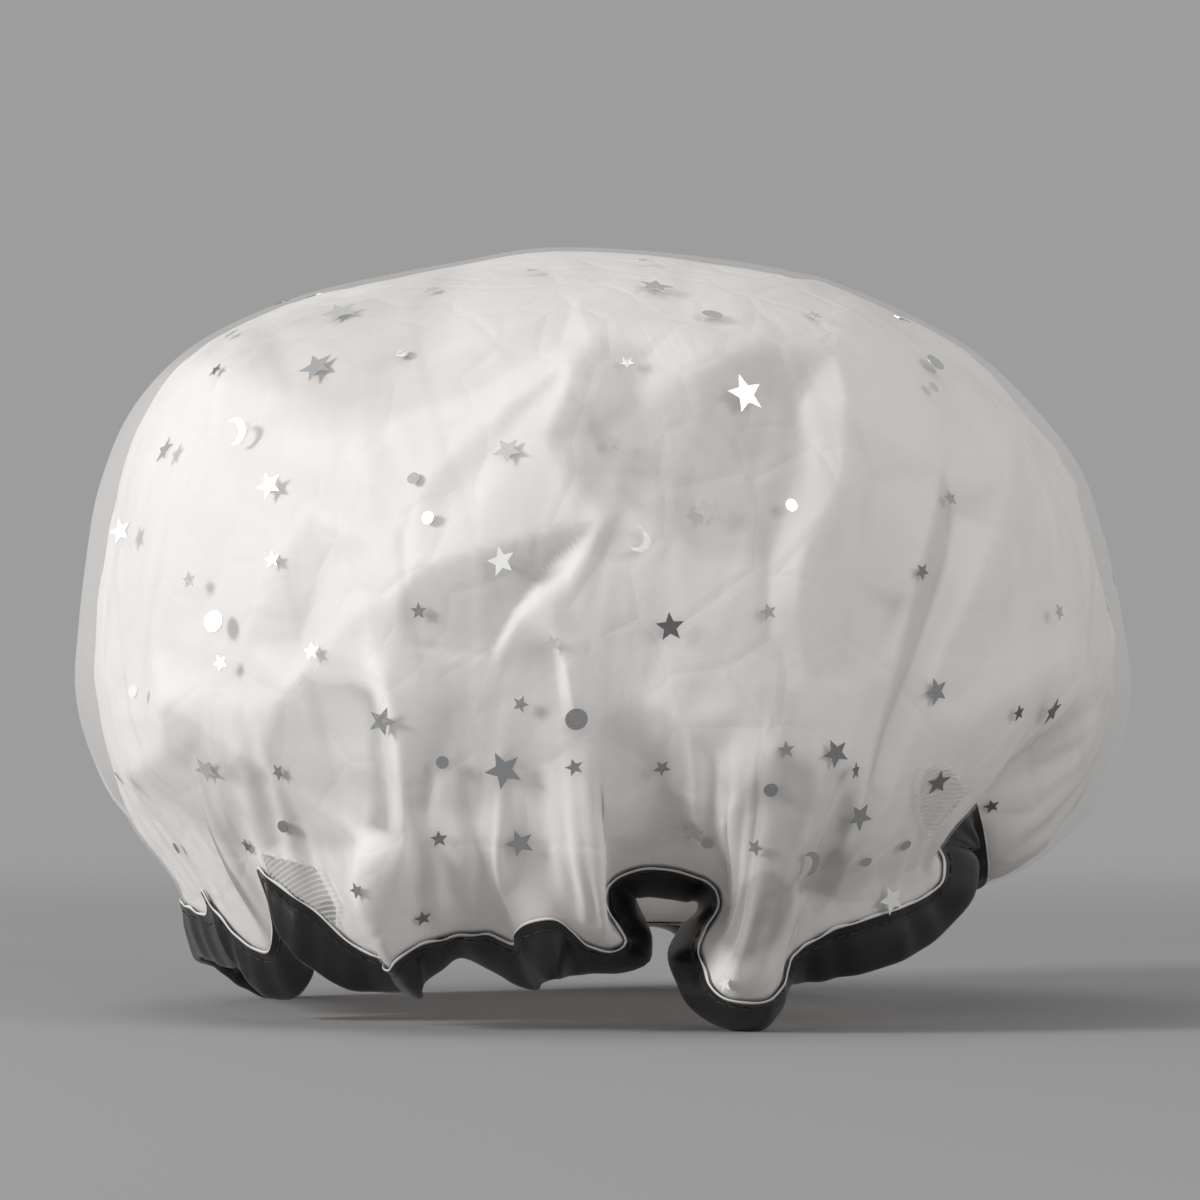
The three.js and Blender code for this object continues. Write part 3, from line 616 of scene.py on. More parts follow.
def smooth_cloth(rim):
    """The cloth without its folds: a grid of points by column and row, from the crown to the seam."""
    crown = np.broadcast_to(np.array([CROWN_SHIFT, 0, CAP_HEIGHT]), rim.place.shape)
    rings = np.array([crown] + [dome_ring(rim.turn, *shares) for shares in DOME_SHARES])
    knots = np.append(0, np.cumsum(np.linalg.norm(np.diff(rings, axis=0), axis=2).mean(axis=1)))
    first = (rings[1] - rings[0]) / knots[1]
    first[:, 2] = 0
    last = (rings[-1] - rings[-2]) / (knots[-1] - knots[-2])
    path = open_spline(knots, rings, first, last, DOME_STEPS)
    hip = rings[-1]
    span = np.linalg.norm(rim.place - hip, axis=1, keepdims=True)
    bend_hip = hip + unit(hip - rings[-2]) * HIP_PULL * span
    bend_rim = rim.place - rim.hang * RIM_PULL * span
    for t in np.linspace(0, 1, SKIRT_STEPS):
        near_hip = (1 - t)**3 * hip + 3 * (1 - t)**2 * t * bend_hip
        path.append(near_hip + 3 * (1 - t) * t**2 * bend_rim + t**3 * rim.place)
    path = np.array(path)
    steps = np.linalg.norm(np.diff(path, axis=0), axis=2)
    along = np.concatenate([np.zeros((1, COLUMNS)), np.cumsum(steps, axis=0)])
    shares = np.linspace(0, 1, ROWS)
    grid = np.empty((COLUMNS, ROWS, 3))
    for column in range(COLUMNS):
        reach = along[:, column]
        for axis in range(3):
            grid[column, :, axis] = np.interp(shares * reach[-1], reach, path[:, column, axis])
    return grid


def grid_normals(grid):
    """The outward normal at each point of a grid that closes round its columns."""
    along = np.roll(grid, -1, axis=0) - np.roll(grid, 1, axis=0)
    down = np.gradient(grid, axis=1)
    normals = np.cross(down, along)
    normals[:, 0] = (0, 0, 1)
    return unit(normals)


def fold_field(grid, turn):
    """How far the main folds lift the cloth."""
    low = 1 - grid[..., 2] / CAP_HEIGHT
    wave = np.sin(BACK_PLEATS * turn)[:, None] * np.sin(turn)[:, None]
    back = BACK_PLEAT_PROUD * smooth(low) * wave
    pixels = to_view(grid)
    front = np.zeros(grid.shape[:2])
    for x0, y0, x1, y1, width, proud in MAIN_FOLDS:
        run = np.array([x1 - x0, y1 - y0], float)
        length = np.linalg.norm(run)
        from_start = pixels - (x0, y0)
        along = from_start @ run / length**2
        aside = (from_start[..., 0] * run[1] - from_start[..., 1] * run[0]) / length * ACROSS_PER_PIXEL
        front += proud * smooth(2 - 4 * np.abs(along - 0.5)) * np.exp(-((aside / width)**2))
    front *= smooth(-4 * grid[..., 1] / CAP_DEPTH)
    return np.where(grid[..., 1] > 0, back, front)


def net_creases(grid):
    """How far sharp creases lift the front of the net: each a crest with a slope on both sides."""
    pixels = to_view(grid)
    total = np.zeros(grid.shape[:2])
    for width, points in NET_CREASES:
        best = np.full(grid.shape[:2], 1e9)
        lift = np.zeros(grid.shape[:2])
        for (x0, y0, z0), (x1, y1, z1) in zip(points, points[1:]):
            run = np.array([x1 - x0, y1 - y0], float)
            from_start = pixels - (x0, y0)
            along = np.clip(from_start @ run / (run @ run), 0, 1)
            away = from_start - along[..., None] * run
            distance = np.linalg.norm(away, axis=-1) * ACROSS_PER_PIXEL / width
            nearer = distance < best
            best = np.where(nearer, distance, best)
            lift = np.where(nearer, z0 + (z1 - z0) * along, lift)
        total += NET_CREASE_PROUD * lift * np.clip(1 - best, 0, 1)**NET_CREASE_SHARPNESS
    return total * smooth(-5 * grid[..., 1] / CAP_DEPTH)


def film_planes(grid):
    """The height of the film's flat facets on the front, which meet in its fold lines."""
    spots, heights = [], []
    for line in FILM_LINES:
        for (x0, y0, z0), (x1, y1, z1) in zip(line, line[1:]):
            steps = max(1, round(math.dist((x0, y0), (x1, y1)) / LINE_STEP))
            for share in np.arange(steps + 1) / steps:
                spots.append(Vector((x0 + (x1 - x0) * share, y0 + (y1 - y0) * share)))
                heights.append(z0 + (z1 - z0) * share)
    for x, y in FILM_BORDER:
        spots.append(Vector((x, y)))
        heights.append(0)
    corners, edges, faces, sources = delaunay_2d_cdt(spots, [], [], 0, 1.0)[:4]
    levels = [np.mean([heights[i] for i in which]) for which in sources]
    raised = [Vector((*corner, level)) for corner, level in zip(corners, levels)]
    tree = BVHTree.FromPolygons(raised, faces)
    pixels = to_view(grid).reshape(-1, 2)
    ahead = (grid[..., 1] < 0).ravel()
    lift = np.zeros(len(pixels))
    for i in np.nonzero(ahead)[0]:
        hit = tree.ray_cast(Vector((*pixels[i], 100)), Vector((0, 0, -1)))[0]
        if hit is not None:
            lift[i] = hit.z
    return FACET_PROUD * lift.reshape(grid.shape[:2]) * smooth(-5 * grid[..., 1] / CAP_DEPTH)


def painted_film_tones(grid):
    """How much painted light (above zero) or painted shade (below zero) the film's colour takes at each
    point of the front.
    """
    pixels = to_view(grid)
    x, y = pixels[..., 0], pixels[..., 1]
    total = np.zeros(grid.shape[:2])
    for amount, fade, corners in FILM_PAINTED_TONES:
        inside = np.zeros(grid.shape[:2], bool)
        away = np.full(grid.shape[:2], 1e9)
        for (x0, y0), (x1, y1) in in_pairs(corners):
            if y0 != y1:
                inside ^= ((y0 > y) != (y1 > y)) & (x < x0 + (x1 - x0) * (y - y0) / (y1 - y0))
            run_x, run_y = x1 - x0, y1 - y0
            along = np.clip(((x - x0) * run_x + (y - y0) * run_y) / (run_x**2 + run_y**2), 0, 1)
            away = np.minimum(away, np.hypot(x - x0 - along * run_x, y - y0 - along * run_y))
        total += amount * smooth(0.5 + np.where(inside, away, -away) / (2 * fade))
    return total * smooth((PAINTED_TONES_END - grid[..., 1]) / PAINTED_TONES_FADE)


def great_creases(grid, draws, count):
    """Long straight creases by chance, each on a plane through the middle of the cap. Most rise from
    the gathered rim like a fan. A crest has a steep side and a gentle side."""
    heart = np.array([0, 0, 0.45 * CAP_HEIGHT])
    ways = unit(grid - heart)
    columns, rows = grid.shape[:2]
    total = np.zeros((columns, rows))
    for i in range(count):
        column = int(columns * (i + draws.random()) / count)
        if i % 3:
            low, high = 0.97, draws.uniform(0.3, 0.62)
        else:
            low, high = draws.uniform(0.6, 0.85), draws.uniform(0.25, 0.45)
        shift = int(draws.uniform(-0.09, 0.09) * columns)
        start = ways[column, int(low * (rows - 1))]
        end = ways[(column + shift) % columns, int(high * (rows - 1))]
        normal = unit(np.cross(start, end))
        forward = unit(end - start)
        aside = ways @ normal * CAP_WIDTH / 2
        along = (ways - start) @ forward / np.linalg.norm(end - start)
        facing = ways @ unit(start + end) > 0.3
        steep, gentle = draws.uniform(2.5, 5), draws.uniform(9, 20)
        if draws.random() < 0.5:
            steep, gentle = gentle, steep
        proud = draws.uniform(0.7, 2.1) * (-1 if draws.random() < 0.25 else 1)
        taper = np.clip(np.minimum(along + 0.1, 1 - along) * 2.2, 0, 1)
        slope = np.clip(1 - np.where(aside > 0, aside / steep, -aside / gentle), 0, 1)
        total += proud * taper * slope * facing
    return total


def directions(turn):
    """A direction for each point of the grid, spread over a ball that is open at the bottom."""
    polar = np.linspace(0, 1, ROWS)[None, :] * 2.3
    around = turn[:, None]
    return np.stack([
        np.sin(polar) * np.cos(around), np.sin(polar) * np.sin(around), np.cos(polar) + 0 * around,
    ], axis=-1)


def facet_field(ways, seeds):
    """A height at each direction, on flat facets between seeds: directions with heights."""
    mesh = bmesh.new()
    heights = {}
    for way, height in seeds:
        vert = mesh.verts.new(way)
        heights[vert] = height
    bmesh.ops.convex_hull(mesh, input=list(mesh.verts), use_existing_faces=False)
    bmesh.ops.triangulate(mesh, faces=list(mesh.faces))
    mesh.faces.ensure_lookup_table()
    tree = BVHTree.FromBMesh(mesh)
    corners = np.array([[tuple(v.co) for v in face.verts] for face in mesh.faces])
    values = np.array([[heights.get(v, 0) for v in face.verts] for face in mesh.faces])
    flat = ways.reshape(-1, 3)
    where = np.empty_like(flat)
    which = np.zeros(len(flat), int)
    for i, way in enumerate(flat):
        spot, normal, index, distance = tree.ray_cast((0, 0, 0), way)
        if index is not None:
            where[i], which[i] = spot, index
    mesh.free()
    a, b, c = (corners[which, k] for k in range(3))
    area = lambda p, q, r: np.linalg.norm(np.cross(q - p, r - p), axis=1)
    weights = np.stack([area(where, b, c), area(where, c, a), area(where, a, b)], axis=1)
    weights /= np.maximum(weights.sum(axis=1, keepdims=True), 1e-12)
    return np.sum(weights * values[which], axis=1).reshape(ways.shape[:2])


def ball_way(turn, polar):
    """A direction on the ball."""
    return Vector((math.sin(polar) * math.cos(turn), math.sin(polar) * math.sin(turn), math.cos(polar)))


def pleat_seeds(draws, ridges, proud):
    """Seeds of long folds that run from the shoulder of the cap down to its rim."""
    seeds = []
    for k in range(2 * ridges):
        turn = (k + draws.uniform(-0.3, 0.3)) * math.pi / ridges
        sign = 1 if k % 2 else -1
        for level in (0.62, 0.9, 1.2, 1.5, 1.8, 2.08, 2.28):
            grow = min(1, level / 1.9)
            height = sign * proud * grow * draws.uniform(0.35, 1)
            way = ball_way(turn + draws.uniform(-0.06, 0.06), level + draws.uniform(-0.1, 0.1))
            seeds.append((way, height))
    return seeds


def scattered_seeds(draws, count, lowest, proud):
    """Seeds of facets that lie at random."""
    seeds = []
    for _ in range(count):
        polar = math.acos(draws.uniform(math.cos(lowest), 1))
        seeds.append((ball_way(draws.uniform(0, 2 * math.pi), polar), draws.uniform(-proud, proud)))
    return seeds


def crumple(turn):
    """The film's facets at three sizes."""
    draws = random.Random(SEED)
    pleats = pleat_seeds(draws, FILM_PLEATS, FILM_PLEAT_PROUD)
    foot = [(Vector((0, 0, -1)), 0)]
    fields = []
    for count, lowest, proud, *shares in CHANCE_FACETS:
        seeds = pleats + scattered_seeds(draws, count, lowest, proud) + foot
        fields.append(facet_field(directions(turn), seeds))
        pleats = []
    return fields


def gather_field(spots, length):
    """The gathers at the rim, by column: from -1 to 1, uneven round the rim."""
    draws = random.Random(SEED + 1)
    wave = np.zeros(len(spots))
    for waves in GATHER_WAVES:
        wave += np.sin(2 * math.pi * (waves * spots / length + draws.random()))
    return wave / GATHER_HEIGHT


def spread(field, reach):
    """The field averaged over so many neighbours each way, round the columns and along the rows."""
    for _ in range(reach):
        field = (np.roll(field, 1, axis=0) + np.roll(field, -1, axis=0) + 2 * field) / 4
        inner = (field[:, :-2] + field[:, 2:] + 2 * field[:, 1:-1]) / 4
        field = np.concatenate([field[:, :1], inner, field[:, -1:]], axis=1)
    return field


def closing(field, reach):
    """The field with its narrow hollows filled, as a sheet that is drawn over its crests."""
    for pick in (np.maximum, np.minimum):
        for _ in range(reach):
            field = pick(field, pick(np.roll(field, 1, axis=0), np.roll(field, -1, axis=0)))
            inner = pick(field[:, 1:-1], pick(field[:, :-2], field[:, 2:]))
            field = np.concatenate([field[:, :1], inner, field[:, -1:]], axis=1)
    return field


def bends(field):
    """How sharply a field bends at each point: above zero on a crest, below zero in a valley."""
    around = (np.roll(field, 1, axis=0) + np.roll(field, -1, axis=0)) / 2
    down = np.concatenate([field[:, :1], (field[:, :-2] + field[:, 2:]) / 2, field[:, -1:]], axis=1)
    return 2 * field - around - down


def add_object(name, data):
    """A new object of the scene."""
    piece = bpy.data.objects.new(name, data)
    bpy.context.scene.collection.objects.link(piece)
    return piece


def mesh_object(name, verts, faces):
    """A smooth object at the origin from points in millimetres."""
    mesh = bpy.data.meshes.new(name)
    mesh.from_pydata([tuple(v) for v in np.asarray(verts) * METRES], [], faces)
    mesh.update()
    mesh.polygons.foreach_set("use_smooth", [True] * len(mesh.polygons))
    return add_object(name, mesh)


def cloth_object(name, grid, hem, traits):
    """A sheet from a grid of points that starts at the crown, with its hem inside the tape. A UV map
    holds each point's place on the flat disc, and attributes hold its traits."""
    hem_rows = hem.shape[1]
    grid = np.concatenate([grid, hem], axis=1)
    columns, rows = grid.shape[:2]
    verts = np.concatenate([grid[:1, 0], grid[:, 1:].reshape(-1, 3)])
    spot = lambda column, row: 1 + (column % columns) * (rows - 1) + row - 1
    faces = [(0, spot(c, 1), spot(c + 1, 1)) for c in range(columns)]
    faces += [
        (spot(c, r), spot(c, r + 1), spot(c + 1, r + 1), spot(c + 1, r))
        for c in range(columns) for r in range(1, rows - 1)
    ]
    piece = mesh_object(name, verts, faces)
    for label, values in traits.items():
        values = np.concatenate([values, np.repeat(values[:, -1:], hem_rows, axis=1)], axis=1)
        layer = piece.data.attributes.new(label, "FLOAT", "POINT")
        layer.data.foreach_set("value", np.append(values[0, 0], values[:, 1:].ravel()).astype(np.float32))
    layer = piece.data.uv_layers.new(name="flat_disc")
    loops = np.zeros(len(piece.data.loops), int)
    piece.data.loops.foreach_get("vertex_index", loops)
    around = 2 * math.pi * np.arange(columns)[:, None] / columns
    reach = 0.5 * np.arange(1, rows)[None, :] / (rows - 1)
    flat = np.stack([0.5 + reach * np.cos(around), 0.5 + reach * np.sin(around)], axis=-1).reshape(-1, 2)
    flat = np.concatenate([[[0.5, 0.5]], flat])
    layer.data.foreach_set("uv", flat[loops].ravel())
    return piece


def loft_object(name, rings, along_name):
    """A closed band from rings of points, with a UV map: along the band, and round its section."""
    rings = np.asarray(rings)
    count, sides = rings.shape[:2]
    spot = lambda i, k: i % count * sides + k % sides
    faces = [
        (spot(i, k), spot(i, k + 1), spot(i + 1, k + 1), spot(i + 1, k))
        for i in range(count) for k in range(sides)
    ]
    piece = mesh_object(name, rings.reshape(-1, 3), faces)
    layer = piece.data.uv_layers.new(name=along_name)
    values = []
    for i in range(count):
        for k in range(sides):
            values += [(i, k), (i, k + 1), (i + 1, k + 1), (i + 1, k)]
    layer.data.foreach_set("uv", (np.array(values) / (count, sides)).ravel())
    return piece


def dress(piece, slot, *nodes):
    """The piece rides on the cap, takes a slot's finish and stands for these nodes."""
    piece.data.materials.clear()
    piece.data.materials.append(finishes[slot])
    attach(piece, "root")
    if nodes:
        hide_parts(*nodes)


def add_node(tree, kind, inputs=None, **settings):
    """A new node with its settings. Each input takes a number, a colour or another node's socket."""
    node = tree.nodes.new(kind)
    for name, value in settings.items():
        setattr(node, name, value)
    for name, value in (inputs or {}).items():
        if isinstance(value, bpy.types.NodeSocket):
            tree.links.new(value, node.inputs[name])
        else:
            node.inputs[name].default_value = value
    return node


def new_material(name):
    """An empty node material with its tree."""
    material = bpy.data.materials.new(name)
    material.use_nodes = True
    material.node_tree.nodes.clear()
    return material, material.node_tree


def math_node(tree, operation, first, second):
    """A Math node's result, from sockets or numbers."""
    return add_node(tree, "ShaderNodeMath", {0: first, 1: second}, operation=operation).outputs[0]


def object_noise(tree, scale, detail, roughness=0.55):
    """Noise on object coordinates."""
    place = add_node(tree, "ShaderNodeTexCoord").outputs["Object"]
    inputs = {"Vector": place, "Scale": scale, "Detail": detail, "Roughness": roughness}
    return add_node(tree, "ShaderNodeTexNoise", inputs).outputs["Fac"]


def map_range(tree, value, low, high, out_low=0, out_high=1, **settings):
    """A value carried from one range to another."""
    inputs = {"Value": value, "From Min": low, "From Max": high, "To Min": out_low, "To Max": out_high}
    return add_node(tree, "ShaderNodeMapRange", inputs, **settings).outputs["Result"]


def ramp(tree, value, stops):
    """A colour ramp over a value."""
    node = add_node(tree, "ShaderNodeValToRGB", {"Fac": value})
    elements = node.color_ramp.elements
    while len(elements) < len(stops):
        elements.new(0.5)
    for element, (position, color) in zip(elements, stops):
        element.position = position
        element.color = (*color, 1)
    return node.outputs["Color"]


def bump(tree, height, distance, strength=1):
    """A bump's normal from a height."""
    inputs = {"Height": height, "Distance": distance, "Strength": strength}
    return add_node(tree, "ShaderNodeBump", inputs).outputs["Normal"]


def attribute(tree, name):
    """The value of a mesh's attribute."""
    return add_node(tree, "ShaderNodeAttribute", attribute_name=name).outputs["Fac"]


def map_axes(tree, map_name):
    """Both axes of a UV map."""
    place = add_node(tree, "ShaderNodeUVMap", uv_map=map_name).outputs["UV"]
    split = add_node(tree, "ShaderNodeSeparateXYZ", {"Vector": place})
    return split.outputs["X"], split.outputs["Y"]


def shader(tree, kind, inputs=None):
    """A shader's output."""
    return add_node(tree, "ShaderNodeBsdf" + kind, inputs).outputs[0]


def mix_shaders(tree, share, first, second):
    """A mix with this share of the second shader."""
    return add_node(tree, "ShaderNodeMixShader", {"Fac": share, 1: first, 2: second}).outputs[0]


def cover_with(tree, shade):
    """Makes a shader the material's surface."""
    add_node(tree, "ShaderNodeOutputMaterial", {"Surface": shade})


def weave(tree, map_name, count):
    """Threads both ways on a UV map: 1 on a thread and 0 in a hole."""
    tops = []
    for axis in map_axes(tree, map_name):
        band = math_node(tree, "PINGPONG", math_node(tree, "MULTIPLY", axis, count), 0.5)
        tops.append(map_range(tree, band, THREAD_SHARE / 2 + THREAD_BLUR, THREAD_SHARE / 2 - THREAD_BLUR))
    return math_node(tree, "MAXIMUM", *tops)


def net_finish():
    """Sheer woven net: a faint veil over the film, denser where it hangs free of it, and plain
    threads with holes between them where no film lies behind it."""
    material, tree = new_material("sheer_net")
    threads = weave(tree, "flat_disc", DISC_WIDTH / NET_PITCH)
    cloud = object_noise(tree, 38, 3)
    grain = math_node(tree, "ADD", cloud, math_node(tree, "MULTIPLY", threads, 0.12))
    tint = ramp(tree, grain, [(0.3, (0.88, 0.87, 0.855)), (0.75, (0.94, 0.93, 0.915))])
    matte = shader(tree, "Principled", {
        "Base Color": tint, "Roughness": 0.5, "Specular IOR Level": 0.3, "Sheen Weight": 0.35,
    })
    body = mix_shaders(tree, 0.4, matte, shader(tree, "Translucent", {"Color": tint}))
    veil = attribute(tree, "veil")
    bare = math_node(tree, "MULTIPLY", threads, map_range(tree, veil, 1, 2, 0, 0.5))
    cover = math_node(tree, "ADD", bare, map_range(tree, veil, 0, 1, 0.11, 0.24))
    cover_with(tree, mix_shaders(tree, cover, shader(tree, "Transparent"), body))
    return material


def film_finish():
    """Frosted film: milky, with a soft gloss. Its colour carries a painted highlight on its crests, painted
    shade in its valleys, and patches of painted shade and light.
    """
    material, tree = new_material("frosted_film")
    place = add_node(tree, "ShaderNodeTexCoord").outputs["Object"]
    inputs = {"Vector": place, "Scale": 60}
    cells = add_node(tree, "ShaderNodeTexVoronoi", inputs, feature="DISTANCE_TO_EDGE")
    pressed = map_range(tree, cells.outputs["Distance"], 0, 0.12)
    cloud = object_noise(tree, 30, 4)
    fine = object_noise(tree, 260, 3)
    height = math_node(tree, "ADD", math_node(tree, "MULTIPLY", pressed, 0.25), cloud)
    height = math_node(tree, "ADD", height, math_node(tree, "MULTIPLY", fine, 0.12))
    normal = bump(tree, height, 0.0012, 0.5)
    # Painted highlight on the film's crests and painted shade in its valleys, from how sharply it bends.
    crest = map_range(tree, attribute(tree, "painted_crease_tone"), -0.4, 0.5)
    # The film's tint: random cloud tone, plus the painted crease highlight and shade, plus the patches of
    # painted shade and light.
    white = 0.177
    for part, weight in ((crest, 0.62), (cloud, 0.3), (attribute(tree, "painted_film_tone"), 0.5)):
        white = math_node(tree, "ADD", white, math_node(tree, "MULTIPLY", part, weight))
    tint = ramp(tree, white, [
        (0, (0.425, 0.405, 0.388)), (0.3, (0.705, 0.678, 0.656)), (0.6, (0.865, 0.834, 0.815)),
        (1, (0.97, 0.94, 0.928)),
    ])
    milky = shader(tree, "Principled", {
        "Base Color": tint, "Roughness": 0.48, "Specular IOR Level": 0.22, "Normal": normal,
    })
    through = shader(tree, "Translucent", {"Color": tint, "Normal": normal})
    cover_with(tree, mix_shaders(tree, 0.25, milky, through))
    return material


def satin_finish():
    """Black satin: dark, with a soft broad shine and a fine twill."""
    material, tree = new_material("black_satin")
    along, across = map_axes(tree, "along_tape")
    lines = math_node(tree, "MULTIPLY", along, 1500)
    twill = math_node(tree, "ADD", lines, math_node(tree, "MULTIPLY", across, 60))
    ribs = math_node(tree, "MULTIPLY", math_node(tree, "PINGPONG", twill, 0.5), 0.3)
    cloud = object_noise(tree, 120, 3)
    height = math_node(tree, "ADD", ribs, cloud)
    cover_with(tree, shader(tree, "Principled", {
        "Base Color": ramp(tree, cloud, [(0.3, (0.006, 0.006, 0.0065)), (0.75, (0.013, 0.013, 0.014))]),
        "Roughness": 0.3, "Specular IOR Level": 0.6, "Sheen Weight": 0.06, "Sheen Roughness": 0.35,
        "Normal": bump(tree, height, 0.0003, 0.35),
    }))
    return material


def elastic_finish():
    """Braided elastic: dark, ribbed along its length."""
    material, tree = new_material("braided_elastic")
    across = map_axes(tree, "along_tape")[1]
    ribs = math_node(tree, "PINGPONG", math_node(tree, "MULTIPLY", across, 24), 0.5)
    cover_with(tree, shader(tree, "Principled", {
        "Base Color": ramp(tree, ribs, [(0, (0.02, 0.02, 0.02)), (0.5, (0.05, 0.05, 0.05))]),
        "Roughness": 0.85, "Normal": bump(tree, ribs, 0.0003),
    }))
    return material


def thread_finish():
    """Twisted black sewing thread."""
    material, tree = new_material("sewing_thread")
    twist = object_noise(tree, 2400, 2)
    cover_with(tree, shader(tree, "Principled", {
        "Base Color": ramp(tree, twist, [(0.3, (0.012, 0.012, 0.013)), (0.7, (0.05, 0.05, 0.052))]),
        "Roughness": 0.7, "Normal": bump(tree, twist, 0.0002),
    }))
    return material


def foil_finish():
    """Silver foil, a little dented and rubbed. Its tint and metal are a painted reflection per foil, from a
    dark mirror to a pale dull face.
    """
    material, tree = new_material("silver_foil")
    dents = object_noise(tree, 420, 2)
    rubs = object_noise(tree, 1600, 4, 0.7)
    painted_reflection = attribute(tree, "painted_reflection")
    # The tint is each foil's painted reflection plus random rubbed wear.
    worn = math_node(tree, "MULTIPLY", math_node(tree, "SUBTRACT", rubs, 0.5), 0.3)
    tint = ramp(tree, math_node(tree, "ADD", worn, painted_reflection), [
        (0, (0.3, 0.3, 0.31)), (0.25, (0.56, 0.57, 0.58)), (0.6, (0.74, 0.745, 0.75)),
        (1, (0.86, 0.86, 0.855)),
    ])
    cover_with(tree, shader(tree, "Principled", {
        "Base Color": tint, "Metallic": map_range(tree, painted_reflection, PLAIN_PAINTED_REFLECTION, 1, 1, 0.25),
        "Roughness": map_range(tree, rubs, 0, 1, 0.14, 0.34), "Normal": bump(tree, dents, 0.0002, 0.4),
    }))
    return material


finishes = {
    "net": net_finish(),
    "film": film_finish(),
    "satin": satin_finish(),
    "elastic": elastic_finish(),
    "thread": thread_finish(),
    "foil": foil_finish(),
}


def make_camera():
    """A level camera at the photograph's distance and height."""
    camera = bpy.data.cameras.new("camera")
    camera.sensor_width = SENSOR_WIDTH
    camera.lens = SENSOR_WIDTH * VIEW_DISTANCE / (PICTURE_PIXELS * ACROSS_PER_PIXEL)
    holder = add_object("camera", camera)
    holder.location = EYE
    holder.rotation_euler = (math.pi / 2, 0, 0)
    bpy.context.scene.camera = holder


def make_area(name, place, size, watts):
    """A soft lamp that faces the cap."""
    lamp = bpy.data.lights.new(name, "AREA")
    lamp.size = size
    lamp.energy = watts
    holder = add_object(name, lamp)
    holder.location = place
    holder.rotation_euler = (HEART - Vector(place)).to_track_quat("-Z", "Y").to_euler()


def make_studio():
    """Soft lamps, an even world, and a plain floor that fades into the background. The eye and mirrors
    see the background, also through the net; all else is lit by the fill light."""
    for lamp in LAMPS:
        make_area(*lamp)
    world = bpy.data.worlds.new("studio")
    world.use_nodes = True
    bpy.context.scene.world = world
    tree = world.node_tree
    tree.nodes.clear()
    seen = add_node(tree, "ShaderNodeBackground", {"Color": (*BACKGROUND, 1)}).outputs[0]
    fill = add_node(tree, "ShaderNodeBackground", {"Color": (*FILL_LIGHT, 1)}).outputs[0]
    ray = add_node(tree, "ShaderNodeLightPath").outputs
    straight = math_node(tree, "SUBTRACT", ray["Is Transmission Ray"], ray["Is Diffuse Ray"])
    mirrored = math_node(tree, "MAXIMUM", ray["Is Camera Ray"], ray["Is Glossy Ray"])
    share = math_node(tree, "MAXIMUM", mirrored, straight)
    add_node(tree, "ShaderNodeOutputWorld", {"Surface": mix_shaders(tree, share, fill, seen)})
    make_floor()


def make_floor():
    """A round floor of the background's colour, clear towards its edge."""
    mesh = bmesh.new()
    bmesh.ops.create_circle(mesh, cap_ends=True, cap_tris=False, segments=96, radius=1.3)
    data = bpy.data.meshes.new("floor")
    mesh.to_mesh(data)
    mesh.free()
    floor = add_object("floor", data)
    material, tree = new_material("pale_floor")
    place = add_node(tree, "ShaderNodeTexCoord").outputs["Object"]
    reach = add_node(tree, "ShaderNodeVectorMath", {0: place}, operation="LENGTH").outputs["Value"]
    fade = map_range(tree, reach, 0.3, 1.1, interpolation_type="SMOOTHSTEP")
    matte = shader(tree, "Diffuse", {"Color": (*FLOOR_TINT, 1)})
    cover_with(tree, mix_shaders(tree, fade, matte, shader(tree, "Transparent")))
    data.materials.append(material)


def on_rim(rim, rings):
    """Points at each column from [down, out] pairs, none of them below the ground."""
    points = rim.place[:, None] + rim.hang[:, None] * rings[..., :1] + rim.face[:, None] * rings[..., 1:]
    points[..., 2] = np.maximum(points[..., 2], GROUND_GAP)
    return points


def ruffled(rim, section, wave=0):
    """A section of [down, out] pairs at every column, moved outwards with the gathers."""
    rings = np.repeat(np.array(section, float)[None], COLUMNS, axis=0)
    rings[..., 1] += rim.gather[:, None] * wave
    return rings


def tape_rings(rim):
    """The folded tape's section at each column, as rings of [down, out]: two leaves that swell over
    the elastic, and a round fold at the foot."""
    downs = np.array([0, 0.5, 2, SEAM_INSET, 4.5, 6.5, 9, 11.5, 13.4, 14.5])
    swell = np.array([0.78, 0.88, 0.8, 0.68, 1.0, 1.3, 1.4, 1.3, 1.05, 0.7])
    outer = [(d, o) for d, o in zip(downs, swell)] + [(TAPE_WIDTH, 0)]
    outer += [(d, -o) for d, o in zip(downs[::-1], swell[::-1])]
    inner = [(d, o - TAPE_WALL) for d, o in zip(downs[:-1], swell[:-1])]
    inner = [(d, -o) for d, o in inner] + [(TAPE_WIDTH - TAPE_FOLD, 0)] + inner[::-1]
    section = np.array(outer + inner)
    loose = np.clip(section[:, 0] / TAPE_WIDTH, 0, 1)
    return ruffled(rim, section, 0.12 + 0.9 * loose * (1.1 - loose))


def make_tape(rim):
    """The folded satin tape and the elastic inside it."""
    tape = loft_object("satin_tape", on_rim(rim, tape_rings(rim)), "along_tape")
    dress(tape, "satin", "edge_tape")
    top = SEAM_INSET + ELASTIC_INSET
    foot, out = top + ELASTIC_WIDTH, ELASTIC_WALL / 2
    rings = ruffled(rim, [(top, out), (foot, out), (foot, -out), (top, -out)], 0.2)
    band = loft_object("elastic_band", on_rim(rim, rings), "along_tape")
    dress(band, "elastic", "rim_elastic")


